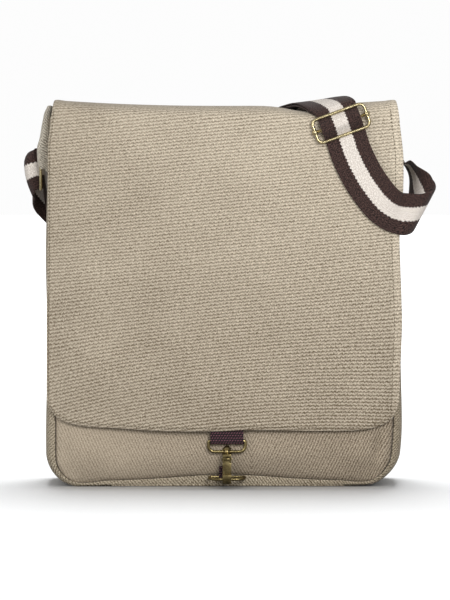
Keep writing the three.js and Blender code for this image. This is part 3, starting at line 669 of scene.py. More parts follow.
@dataclass(frozen=True)
class Shape:
    """Sizes of the cloth body and flap, in millimetres."""

    cloth: float = 1.8
    # The seams between the panels and the gusset.
    seam_half: float = 156.0
    seam_corner: float = 24.0
    seam_height: float = 4.0
    seam_gap: float = -0.1
    seam_tuck: float = 0.6
    panel_top: float = 334.0
    round_over: float = 30.0
    # Front bottom seam: drawn up by the hook, and a little beside it.
    pull_x: float = 2.1
    pull_height: float = 8.0
    pull_reach: float = 66.0
    seam_rise: float = 2.2
    seam_rise_from: float = 130.0
    seam_rise_full: float = 104.0
    # Rounder right lower corner.
    slump_in: float = 3.6764
    slump_reach: float = 32.0
    slump_lift: float = 0.6
    # Flap: its hems, its fold over the top and its lift at the hook.
    clearance: float = 3.4
    back_hem: float = 312.0
    fold_start: float = 336.0
    fold_top: float = 352.2
    corner_rise: float = 5.4
    squareness: float = 0.75
    hem: float = 53.0
    hem_lift: float = 1.6
    hem_reach: float = 60.0
    hook_x: float = 2.3
    hook_lift: float = 5.2
    hook_reach: float = 70.0
    edge_drop: float = 2.2
    edge_drop_from: float = 150.0
    edge_drop_reach: float = 14.0
    # Tables of a height, and there the half depth, the puff of a panel or the bulge of a side.
    depth: Table = Table(((0, 33.0), (60, 34.6), (160, 33.6), (250, 30.2), (300, 26.8), (345, 23.0)))
    front: Table = Table(((0, 7.0), (60, 7.6), (160, 6.6), (250, 5.2), (300, 4.0), (345, 3.0)))
    back: Table = Table(((0, 4.0), (60, 4.5), (160, 4.6), (250, 4.0), (300, 3.2), (345, 2.4)))
    left: Table = Table(((0, 8.2), (60, 8.2), (160, 7.8), (250, 7.6), (300, 7.0), (345, 4.0)))
    right: Table = Table(((0, 7.6), (60, 7.5), (160, 6.6), (250, 2.6), (300, -6.0), (345, -8.0)))
    # Sides of the flap: height and place across.
    edge_left: Table = Table((
        (60, -164.3), (92, -164.3), (149, -164.2), (173, -164.0), (234, -163.1), (271, -163.0),
        (305, -163.0), (318, -162.6), (338, -160.0), (352, -158.2), (360, -157.6)))
    edge_right: Table = Table((
        (60, 161.4), (92, 162.0), (149, 164.0), (173, 163.5), (234, 161.6), (271, 164.6),
        (305, 165.0), (318, 163.8), (338, 161.4), (352, 159.4), (360, 158.6)))
    # Front hem of the flap: place across and height.
    hem_line: Table = Table((
        (-164.3, 81), (-162.6, 75.5), (-154.7, 64.8), (-135, 58.4), (-95, 55.5), (-55, 53.3), (0, 53.6),
        (20, 54.6), (86, 53.3), (125.7, 54.1), (142.8, 57.6), (155.6, 64.8), (161.4, 78)))
    # Soft dents and swells of the flap: centre x and z, reach each way and height outwards.
    swells: tuple[Bump, ...] = (
        (-105, 300, 50, 26, 1.5), (-20, 322, 70, 14, -1.2), (60, 262, 75, 22, 1.3), (-85, 205, 60, 30, -1.2),
        (95, 185, 60, 26, 1.6), (0, 140, 80, 24, -1.0), (-110, 110, 45, 26, 1.2), (120, 105, 36, 28, -1.1))
    # Folds of the front panel below the flap, in the same columns.
    folds: tuple[Bump, ...] = (
        (143, 38, 3.4, 14, -5.0), (149.5, 36, 4.0, 14, 1.6), (124, 30, 12, 12, 1.8), (98, 24, 16, 13, -1.6),
        (58, 34, 22, 14, 0.8), (-96, 30, 18, 15, -1.1), (-126, 36, 14, 14, 1.0), (-146, 30, 5, 16, -1.2))

    def rounded(self, distance: Array) -> Array:
        """Quarter round from zero at a seam to one away from it."""
        return np.sin(math.pi / 2 * np.clip(distance / self.round_over, 0, 1))

    def pull(self, x: Array) -> Array:
        """How far the front bottom seam stands up, most where the hook pulls it.

        Args:
            x: Places across.

        Returns:
            The heights.
        """
        hooked = bell(x - self.pull_x, self.pull_reach)
        beside = ease(self.seam_rise_from, self.seam_rise_full, np.abs(x))
        return self.pull_height * hooked + self.seam_rise * beside * (1 - hooked)

    def slump(self, middle: Array) -> None:
        """Draws the cloth in and up at the rounder right lower corner.

        Args:
            middle: Points of a sheet, which are moved.
        """
        far = np.hypot(middle[..., 0] - self.seam_half, middle[..., 2] - self.seam_height)
        drawn = self.slump_in * bell(far, self.slump_reach)
        middle[..., 0] -= drawn
        middle[..., 2] += drawn * self.slump_lift

    def flap_front(self, x: Array, z: Array) -> Array:
        """Depth y of the flap's cloth in front of the bag.

        Args:
            x: Places across.
            z: Heights.

        Returns:
            The y values.
        """
        x = np.asarray(x, float)
        z = np.asarray(z, float)
        puff = self.front.at(z) * self.rounded(self.seam_half - np.abs(x))
        hooked = self.hook_lift * bell(x - self.hook_x, self.hook_reach)
        lift = (self.hem_lift + hooked) * bell(z - self.hem, self.hem_reach)
        past = np.maximum(0, np.abs(x) - self.edge_drop_from) / self.edge_drop_reach
        out = self.depth.at(z) + puff + self.clearance + lift + swell(self.swells, x, z)
        return -(out - self.edge_drop * past**2)

    def flap_back(self, x: Array, z: Array) -> Array:
        """Depth y of the flap's cloth behind the bag."""
        puff = self.back.at(z) * self.rounded(self.seam_half - np.abs(x))
        return self.depth.at(z) + puff + self.clearance

    def flap_x(self, u: Array, z: Array) -> Array:
        """Place across the flap for a share from minus one to one."""
        return np.where(u < 0, -u * self.edge_left.at(z), u * self.edge_right.at(z))


@dataclass
class ClothBody:
    """Front panel, back panel, gusset and flap, cut and sewn from canvas; sizes in millimetres."""

    shape: Shape = field(default_factory=Shape)
    grid_step: float = 2.6
    # How the pull at the hook fades upwards, and the ditch beside the front seam.
    pull_fade: float = 25.0
    ditch: float = 2.0
    ditch_reach: float = 2.2
    # Gusset: height above the panels, crown along its middle and lip at the seams.
    gusset_rise: float = 8.0
    gusset_crown: float = 1.2
    gusset_lip: float = 1.1
    # Flap: lowest height of its sides, how its hem's line fades upwards, and the sides' rise in the fold.
    lowest_side: float = 60.0
    hem_fade: float = 44.0
    fold_sides: float = 18.0
    # Dent that the strap presses in the fold: place across, reach and depth.
    dent_x: float = 77.0
    dent_reach: float = 24.0
    dent_depth: float = 6.0
    # Folded hem of the flap and its line of stitches.
    hem_band: float = 7.5
    hem_thicker: float = 0.42
    hem_groove: float = 0.3
    stitch_rise: float = 0.12
    stitch_left: float = 2.0
    stitch_right: float = 7.4
    stitch_low: float = 3.2
    stitch_corner: float = 4.6
    stitch_size: Point = (1.15, 0.48, 0.42)
    stitch_pitch: float = 3.4
    stitch_lean: float = 0.1

    def panel(self, front: bool) -> Grid:
        """Front or back panel, round at its lower corners.

        Args:
            front: True for the front panel.

        Returns:
            The panel's grid.
        """
        s = self.shape
        angles = np.radians(spread([4, 90], 5))
        corner = s.seam_corner - s.seam_gap
        half = s.seam_half - s.seam_corner + corner * np.sin(angles)
        high = s.seam_height + s.seam_corner - (corner + s.seam_tuck) * np.cos(angles)
        heights = spread([s.seam_height + s.seam_corner, s.panel_top], self.grid_step)[1:]
        half = np.concatenate([half, np.full(len(heights), s.seam_half - s.seam_gap)])[:, None]
        high = np.concatenate([high, heights])[:, None]
        x = spread([-1, -0.985, -0.95, 0.95, 0.985, 1], 0.018)[None, :] * half
        inside = half - np.abs(x)
        above = high - s.seam_height
        seam = np.minimum(inside, above + 0 * x)
        puff = (s.front if front else s.back).at(high) * s.rounded(inside) * s.rounded(above)
        ripple = 0.45 * np.sin(x / 2.9 + 2 * np.sin(x / 23)) * np.exp(-np.maximum(above, 0) / 9)
        ripple = ripple + 0.4 * np.sin(high / 3.4 + np.sin(high / 17)) * np.exp(-inside / 9)
        fan = 0.8 * np.sin(x / 7.5 + 1.1) * bell(x - s.hook_x, 42) * bell(high - 14, 17)
        soft = (0.7 * np.sin(x / 31 + high / 47) + 0.5 * np.sin(high / 19 - x / 58)) * s.rounded(seam)
        lift = 0 * x
        ditch = 0 * x
        if front:
            lift = s.pull(x) * np.exp(-above / self.pull_fade)
            ditch = self.ditch * np.exp(-seam / self.ditch_reach)
            soft = soft + swell(s.folds, x, high)
        out = s.depth.at(high) + puff + (ripple + fan + soft) * s.rounded(seam * 6) - ditch
        middle = np.stack([x, -out if front else out, high + lift], axis=-1)
        s.slump(middle)
        return Grid(middle, np.stack([x, high + 0 * x], axis=-1), np.full(x.shape, s.cloth / 2))

    def corner_station(self, side: int, angle: float) -> tuple[float, ...]:
        """Station of the gusset in one of the lower corners.

        Args:
            side: Minus one for the left corner, one for the right.
            angle: Turn up from the floor, in radians.

        Returns:
            The columns that the gusset's method names.
        """
        s = self.shape
        x = side * (s.seam_half - s.seam_corner + s.seam_corner * math.sin(angle))
        z = s.seam_height + s.seam_corner - s.seam_corner * math.cos(angle)
        return x, z, side * math.sin(angle), -math.cos(angle), side, 1 - angle / (math.pi / 2)

    def gusset(self) -> Grid:
        """Gusset round the sides and the bottom.

        Returns:
            The gusset's grid, rows from the top left round to the top right.
        """
        s = self.shape
        straight = s.seam_half - s.seam_corner
        down = spread([s.panel_top + self.gusset_rise, s.seam_height + s.seam_corner], 3.2)
        turn = np.radians(spread([90, 0], 7))[1:]
        floor = spread([-straight, straight], 4)[1:]
        # Along the seam: x, z, way out in x and in z, side, and share of the flat floor.
        seam = [(-s.seam_half, z, -1.0, 0.0, -1, 0.0) for z in down]
        seam += [self.corner_station(-1, angle) for angle in turn]
        seam += [(x, s.seam_height, 0.0, -1.0, 0, 1.0) for x in floor]
        seam += [self.corner_station(1, angle) for angle in turn[::-1][1:]]
        seam += [(s.seam_half, z, 1.0, 0.0, 1, 0.0) for z in down[::-1]]
        x, z, out_x, out_z, side, flat = (np.array(column)[:, None] for column in zip(*seam))
        # From the front seam to the back seam: share of the depth, of the bulge and of the crown.
        row = spread(list(range(9)), 0.34)[None, :]
        share = profile((-1.0, -0.93, -0.8, -0.6, 0.0, 0.6, 0.8, 0.93, 1.0), row)
        under = profile((-1.0, -0.995, -0.975, -0.9, 0.0, 0.9, 0.975, 0.995, 1.0), row)
        full = profile((0.0, 0.5, 0.86, 1.0, 1.0, 1.0, 0.86, 0.5, 0.0), row)
        crown = profile((0.0, 0.0, 0.0, 0.3, 1.0, 0.3, 0.0, 0.0, 0.0), row)
        share = share * (1 - flat) + under * flat
        sides = np.where(side < 0, s.left.at(z), s.right.at(z))
        bulge = flat * (s.seam_height - s.cloth / 2) + (1 - flat) * np.where(side == 0, 0, sides)
        part = np.where(bulge < 0, np.maximum(0, 2 * full - 1), full)
        pull = np.where((share < 0) & (flat == 1), s.pull(x) * (1 - full), 0)
        pucker = 0.5 * np.sin(z / 3.3 + np.sin(z / 21)) * (1 - full)
        ripple = (1 - flat) * pucker + (1 - flat) * 0.7 * np.sin(z / 27)
        away = bulge * part + (1 - flat) * self.gusset_crown * crown * np.sign(sides)
        away = away + self.gusset_lip * (1 - full) - pull + ripple * full
        y = s.depth.at(z) * share
        middle = np.stack([x + out_x * away, y, z + out_z * away], axis=-1)
        s.slump(middle)
        walked = lengths(np.concatenate([x, z], axis=1))[:, None]
        steps = np.linalg.norm(np.diff(middle, axis=1, prepend=middle[:, :1]), axis=2)
        cloth = np.stack([np.cumsum(steps, axis=1), walked + 0 * y], axis=-1)
        return Grid(middle, cloth, np.full(y.shape, s.cloth / 2))

    def flap_rows(self) -> tuple[Array, Array]:
        """Rows of the flap: fold angle, and height where the row is flat.

        Returns:
            Angles, -1 behind and 181 in front, and heights.
        """
        s = self.shape
        behind = spread([s.back_hem, s.back_hem + 0.8, s.fold_start], self.grid_step)[:-1]
        fold = spread([0, 180], 5)
        hem_steps = [s.hem + 2.4, s.hem + 0.9, s.hem + 0.35, s.hem]
        ahead = spread([s.fold_start, 90, *hem_steps], self.grid_step)[1:]
        angle = np.concatenate([np.full(len(behind), -1.0), fold, np.full(len(ahead), 181.0)])
        height = np.concatenate([behind, np.full(len(fold), s.fold_start), ahead])
        return angle[:, None], height[:, None]

    def flap(self) -> Grid:
        """Flap from its back hem over the top and down the front, with its folded hems.

        Returns:
            The flap's grid.
        """
        s = self.shape
        angle, height = self.flap_rows()
        in_fold = (angle >= 0) & (angle <= 180)
        in_front = angle > 90
        turn = np.radians(np.clip(angle, 0, 180))
        u = spread([-1, -0.998, -0.994, -0.985, 0.985, 0.994, 0.998, 1], 0.016)[None, :]
        x_flat = s.flap_x(u, np.maximum(height, self.lowest_side) + 0 * u)
        x_fold = s.flap_x(u, s.fold_start + self.fold_sides * np.sin(turn) + 0 * u)
        x = np.where(in_fold, x_fold, x_flat)
        fade = np.maximum(0, 1 - (height - s.hem) / self.hem_fade)
        z_front = height + (s.hem_line.at(x) - s.hem) * fade
        z_flat = np.where(in_front, z_front, height + 0 * x)
        dent = self.dent_depth * bell(x_fold - self.dent_x, self.dent_reach)
        top = s.fold_top + s.corner_rise * np.abs(u) ** 2.2 - s.cloth / 2 - dent
        rise = np.abs(np.sin(turn)) ** s.squareness
        z = np.where(in_fold, s.fold_start + (top - s.fold_start) * rise, z_flat)
        share = np.where(in_fold, np.abs(np.cos(turn)) ** s.squareness, 1.0)
        level = np.where(in_fold, s.fold_start + 0 * x, z)
        y = share * np.where(in_front, s.flap_front(x, level), s.flap_back(x, level))
        rim = np.minimum(x - s.flap_x(-1 + 0 * x, z), s.flap_x(1 + 0 * x, z) - x)
        below = np.where(in_front, z - s.hem_line.at(x), z - s.back_hem)
        below = np.where(in_fold, 99.0, below)
        edge = np.minimum(rim, below)
        wave = 0.45 * np.sin(x / 26 + z / 39) + 0.4 * np.sin(z / 17 - x / 71 + 1.3)
        wave = wave + 0.3 * np.sin(x / 15 - z / 52)
        pucker = 0.28 * np.sin(x / 2.6 + np.sin(x / 19)) * np.exp(-below / 8)
        pucker = pucker + 0.28 * np.sin(z / 2.8 + np.sin(z / 23)) * np.exp(-rim / 8)
        uneven = wave * ease(0, 40, edge) + pucker * ease(0, 2, edge)
        middle = np.stack([x, y - np.where(angle > 180, uneven, 0), z], axis=-1)
        # The second cloth coordinate is level at the front of the fold, so that the rows of weave are too.
        walked = np.cumsum(np.linalg.norm(np.diff(middle, axis=0, prepend=middle[:1]), axis=2), axis=0)
        ridge = int(np.argmin(np.abs(angle[:, 0] - 180)))
        walked = walked - walked[ridge] + walked[ridge].mean()
        return Grid(middle, np.stack([x, -walked], axis=-1), self.hem_half(edge))

    def hem_half(self, edge: Array) -> Array:
        """Half of the flap's thickness, more in the folded hem and less along its stitches.

        Args:
            edge: Distances from the flap's edge.

        Returns:
            Half thicknesses.
        """
        band = 1 - ease(self.hem_band - 0.8, self.hem_band + 0.6, edge)
        groove = bell(edge - self.hem_band + 1.4, 0.9)
        half = self.shape.cloth / 2 + self.hem_thicker * band - self.hem_groove * groove
        return half * (0.35 + 0.65 * np.sqrt(np.clip(edge / 1.6, 0, 1)))

    def hem_seam(self, grid: Grid) -> Array:
        """Path of the flap's hem stitching on its outer face.

        Args:
            grid: The flap's grid.

        Returns:
            Points down the left side, along the hem and up the right side.
        """
        s = self.shape
        face = grid.middle - grid.normals() * grid.half[..., None]
        face[..., 1] -= self.stitch_rise
        angle, _ = self.flap_rows()
        ahead = np.nonzero(angle[:, 0] > 150)[0]
        left = []
        right = []
        for row in ahead:
            x = face[row, :, 0]
            for side, where in ((left, x[0] + self.stitch_left), (right, x[-1] - self.stitch_right)):
                point = [np.interp(where, x, face[row, :, k]) for k in range(3)]
                if point[2] > float(s.hem_line.at(where)) + self.stitch_corner:
                    side.append(point)
        low = []
        for column in range(face.shape[1]):
            z = face[ahead, column, 2][::-1]
            x = float(face[ahead[-1], column, 0])
            high = float(s.hem_line.at(x)) + self.stitch_low
            if left[-1][0] < x < right[-1][0]:
                low.append([np.interp(high, z, face[ahead, column, k][::-1]) for k in range(3)])
        return np.array([*left, *low, *right[::-1]])

    def build(self, stitcher: "Stitcher") -> None:
        """Builds the panels, the gusset, the flap and its stitching.

        Args:
            stitcher: Lays the stitches.
        """
        # Painted light and shade on the flap: fade, drift and cross make it lighter towards the top and the
        # right, darker at the lower right and lighter at the lower left, and its hem band is a painted
        # highlight.
        flap_canvas = CanvasFinish(
            "flap canvas", 3.0, 6.0, bow=0.0005, contrast=0.5, soften=0.0004, fade=0.0005, painted_shade_drift=0.0007,
            cross=0.0000023, hem=154.0, light=(242, 229, 207)).make()
        # Painted shade on the panel: its canvas is a darker copy of the flap's canvas, and drift makes it
        # darker to the right.
        panel_canvas = CanvasFinish(
            "panel canvas", 2.6, -66.0, contrast=0.52, soften=0.001, painted_shade_drift=-0.0006, mirror=25.0,
            dark=(82, 67, 49), light=(208, 193, 171)).make()
        # Painted shade on the gusset: its canvas is a darker copy of the flap's canvas, and fade makes it
        # darker from the left side round to the right side.
        gusset_canvas = CanvasFinish(
            "gusset canvas", 2.4, 40.0, contrast=0.62, fade=-0.00027, dark=(90, 77, 58),
            light=(220, 207, 183)).make()
        thread = ThreadFinish("khaki thread", (122, 110, 87)).make()
        panels = ["front_panel_cloth", "back_panel_cloth"]
        makers = (("front_panel", self.panel(True), 1, panel_canvas, ["gusset_cloth"]),
                  ("back_panel", self.panel(False), -1, panel_canvas, ["gusset_cloth"]),
                  ("gusset", self.gusset(), -1, gusset_canvas, panels))
        for node, grid, outward, canvas, rests in makers:
            piece = dress(grid.build(f"{node}_cloth", outward), canvas)
            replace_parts(piece, node)
            width, length, area = grid.flat()
        grid = self.flap()
        piece = dress(grid.build("flap_cloth", -1), flap_canvas)
        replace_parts(piece, "flap")
        seam = stitcher.run("flap_stitches", self.hem_seam(grid), thread, self.stitch_size, self.stitch_pitch,
                            self.stitch_lean)
        dress(seam, thread)
        width, length, area = grid.flat()


def unit(vectors: Array) -> Array:
    """Vectors of length one."""
    return vectors / np.maximum(np.linalg.norm(vectors, axis=-1, keepdims=True), 1e-12)


def smooth_row(points: Array, steps: int, even: bool = False) -> Array:
    """Curve through a row of points, with the same number of steps between each two.

    Args:
        points: The points to pass.
        steps: Steps between two points.
        even: True to treat the points as evenly spaced.

    Returns:
        The points of the curve.
    """
    ends = np.concatenate([[2 * points[0] - points[1]], points, [2 * points[-1] - points[-2]]])
    gaps = np.ones(len(ends) - 1)
    if not even:
        gaps = np.sqrt(np.maximum(np.linalg.norm(np.diff(ends, axis=0), axis=1), 1e-6))
    share = np.linspace(0, 1, steps, endpoint=False)[:, None]
    made = []
    for i in range(1, len(ends) - 2):
        a, b, c, d = ends[i - 1 : i + 3]
        before, here, after = gaps[i - 1 : i + 2]
        leave = ((b - a) / before - (c - a) / (before + here) + (c - b) / here) * here
        arrive = ((c - b) / here - (d - b) / (here + after) + (d - c) / after) * here
        cubic = 2 * (b - c) + leave + arrive
        square = 3 * (c - b) - 2 * leave - arrive
        made.append(b + share * leave + share**2 * square + share**3 * cubic)
    return np.concatenate([*made, points[-1:]])


@dataclass
class Ribbon:
    """Flat band along middle points.

    Attributes:
        middle: Points along the middle, in millimetres.
        across: Way of the straight line across at each point.
        width: Width of the band.
        thick: Thickness of the band.
        slant_limit: Least square sine between the band and its lines across that still widens them.
        edge_thinning: Share of the thickness that is lost at the edges.
    """

    middle: Array
    across: Array
    width: float
    thick: float
    slant_limit: float = 0.6
    edge_thinning: float = 0.55

    def grid(self) -> Grid:
        """Grid of the band, with its edges thinned.

        Returns:
            The grid, with cloth coordinates along and across the band.
        """
        walked = lengths(self.middle)
        rising = np.maximum.accumulate(walked + 1e-6 * np.arange(len(walked)))
        tangent = unit(np.gradient(self.middle, rising, axis=0))
        across = unit(self.across)
        lean = np.sum(across * tangent, axis=1)
        reach = self.width / 2 / np.sqrt(np.maximum(1 - lean**2, self.slant_limit))
        reach = np.convolve(np.pad(reach, 4, mode="edge"), np.full(9, 1 / 9), mode="valid")
        t = np.array([-1, -0.985, -0.95, -0.8, -0.6, -0.4, -0.2, 0, 0.2, 0.4, 0.6, 0.8, 0.95, 0.985, 1])
        middle = self.middle[:, None, :] + across[:, None, :] * (reach[:, None] * t)[..., None]
        along = walked[:, None] + t * (reach * lean)[:, None]
        cloth = np.stack([along, np.broadcast_to(t * self.width / 2, along.shape)], axis=-1)
        half = self.thick / 2 * (1 - self.edge_thinning * ease(0.93, 1.0, np.abs(t)))
        return Grid(middle, cloth, np.broadcast_to(half, along.shape))

    def flat(self) -> Pair:
        """Width and length of the band in metres."""
        return self.width * MM, float(lengths(self.middle)[-1]) * MM


@dataclass
class Brass:
    """Points and faces of one metal piece, in millimetres."""

    points: list[Array] = field(default_factory=list)
    faces: list[Array] = field(default_factory=list)
    count: int = 0

    def add(self, points: Array, faces: Array) -> None:
        """Adds points and faces.

        Args:
            points: Places in millimetres.
            faces: Corner numbers of each face, from zero.
        """
        self.points.append(points)
        self.faces.append(faces + self.count)
        self.count += len(points)

    def wire(self, path: Array, radius: float, normal: Array, sides: int = 20) -> None:
        """Adds a closed round wire along a planar loop.

        Args:
            path: Points of the loop.
            radius: Radius of the wire.
            normal: Normal of the loop's plane.
            sides: Sides of the wire.
        """
        tangent = unit(np.roll(path, -1, axis=0) - np.roll(path, 1, axis=0))
        sideways = unit(np.cross(normal, tangent))
        turn = np.linspace(0, 2 * math.pi, sides, endpoint=False)
        ring = sideways[:, None] * np.cos(turn)[None, :, None]
        ring = ring + normal[None, None] * np.sin(turn)[None, :, None]
        points = path[:, None] + radius * ring
        at = np.arange(len(path) * sides).reshape(len(path), sides)
        right = np.roll(at, -1, axis=1)
        after = np.roll(at, -1, axis=0)
        far = np.roll(right, -1, axis=0)
        self.add(points.reshape(-1, 3), np.stack([at, after, far, right], axis=-1).reshape(-1, 4))

    def turned(self, centre: Array, axis: Array, rows: Sequence[Pair], sides: int = 28) -> None:
        """Adds a closed turned piece.

        Args:
            centre: Its middle.
            axis: Its axis.
            rows: Place along the axis and radius of each row.
            sides: Sides of the turning.
        """
        side = unit(np.cross(axis, np.array([0.3, 0.5, 0.8])))
        other = np.cross(axis, side)
        turn = np.linspace(0, 2 * math.pi, sides, endpoint=False)
        ring = side * np.cos(turn)[:, None] + other * np.sin(turn)[:, None]
        points = np.array([[centre + axis * high + way * radius for way in ring] for high, radius in rows])
        at = np.arange(len(rows) * sides).reshape(len(rows), sides)
        right = np.roll(at, -1, axis=1)
        quads = np.stack([at[:-1], right[:-1], right[1:], at[1:]], axis=-1).reshape(-1, 4)
        self.add(points.reshape(-1, 3), quads)

    def build(self, name: str) -> bpy.types.Object:
        """Makes the mesh object."""
        return mesh_object(name, np.concatenate(self.points) * MM, np.concatenate(self.faces))


def rounded_loop(centre: Array, wide: Array, tall: Array, size: Pair, corners: Pair) -> Array:
    """Rounded rectangle of points in the plane of two directions.

    Args:
        centre: Its middle.
        wide: Direction of its width.
        tall: Direction of its height.
        size: Width and height.
        corners: Corner sizes above and below.

    Returns:
        The points, in order.
    """
    made = []
    for sign_wide, sign_tall, start in ((1, 1, 0), (-1, 1, 90), (-1, -1, 180), (1, -1, 270)):
        corner = corners[0] if sign_tall > 0 else corners[1]
        for turn in np.radians(np.linspace(start, start + 90, 11)):
            along = sign_wide * (size[0] / 2 - corner) + corner * math.cos(turn)
            upward = sign_tall * (size[1] / 2 - corner) + corner * math.sin(turn)
            made.append(centre + wide * along + tall * upward)
    return np.array(made)


@dataclass
class Slider:
    """Brass slider on the strap: a wire frame and a bar with eyes; sizes in millimetres."""

    shape: Shape
    across: Array = field(default_factory=lambda: unit(np.array([0.94, 0.0, 0.342])))
    outward: Point = (0.0, -0.985, 0.17)
    seat_x: float = 107.4
    seat_z: float = 335.7
    seat_gap: float = 1.6
    bar_out: float = 4.7
    wire: float = 1.45
    frame_half: float = 11.0
    frame_corner: float = 5.0
    tilt: float = 1.1
    width: float = 50.4
    eye_air: float = 0.3
    # Outline of an eye of the bar above its hole: place along the frame's side and radius.
    eye_rows: tuple[Pair, ...] = ((-2, 2.4), (-1.6, 2.75), (1.6, 2.75), (2, 2.4))

    def __post_init__(self) -> None:
        """Sets the slider's own directions and seat."""
        rough = np.array(self.outward)
        self.out = unit(rough - np.dot(rough, self.across) * self.across)
        down = unit(np.cross(self.out, self.across))
        self.down = -down if down[2] > 0 else down
        face = float(self.shape.flap_front(self.seat_x, self.seat_z))
        self.seat = np.array([self.seat_x, face - self.shape.cloth / 2 - self.seat_gap, self.seat_z])

    def at(self, down: float, out: float) -> Array:
        """Place down the strap and out from the flap."""
        return self.seat + down * self.down + out * self.out

    def build(self, metal: bpy.types.Material) -> None:
        """Builds the frame and the bar.

        Args:
            metal: Their finish.
        """
        upper = self.at(-self.frame_half, self.bar_out + self.tilt)
        lower = self.at(self.frame_half, self.bar_out - self.tilt)
        tall = unit(upper - lower)
        size = (self.width, float(np.linalg.norm(upper - lower)))
        normal = unit(np.cross(self.across, tall))
        middle = self.at(0, self.bar_out)
        loop = rounded_loop(middle, self.across, tall, size, (self.frame_corner, self.frame_corner))
        frame_wire = Brass()
        frame_wire.wire(loop, self.wire, normal)
        piece = dress(frame_wire.build("slider_frame_wire"), metal)
        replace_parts(piece, "slider_frame")
        bar = Brass()
        reach = self.width / 2 - 1
        bar.turned(middle, self.across, [(-reach, 0), (-reach, self.wire), (reach, self.wire), (reach, 0)])
        hole = self.wire + self.eye_air
        first = (self.eye_rows[0][0], hole)
        last = (self.eye_rows[-1][0], hole)
        for side in (-1, 1):
            eye = middle + side * self.across * self.width / 2
            bar.turned(eye, tall, [first, *self.eye_rows, last, first])
        piece = dress(bar.build("slider_bar_rod"), metal)
        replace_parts(piece, "slider_bar")


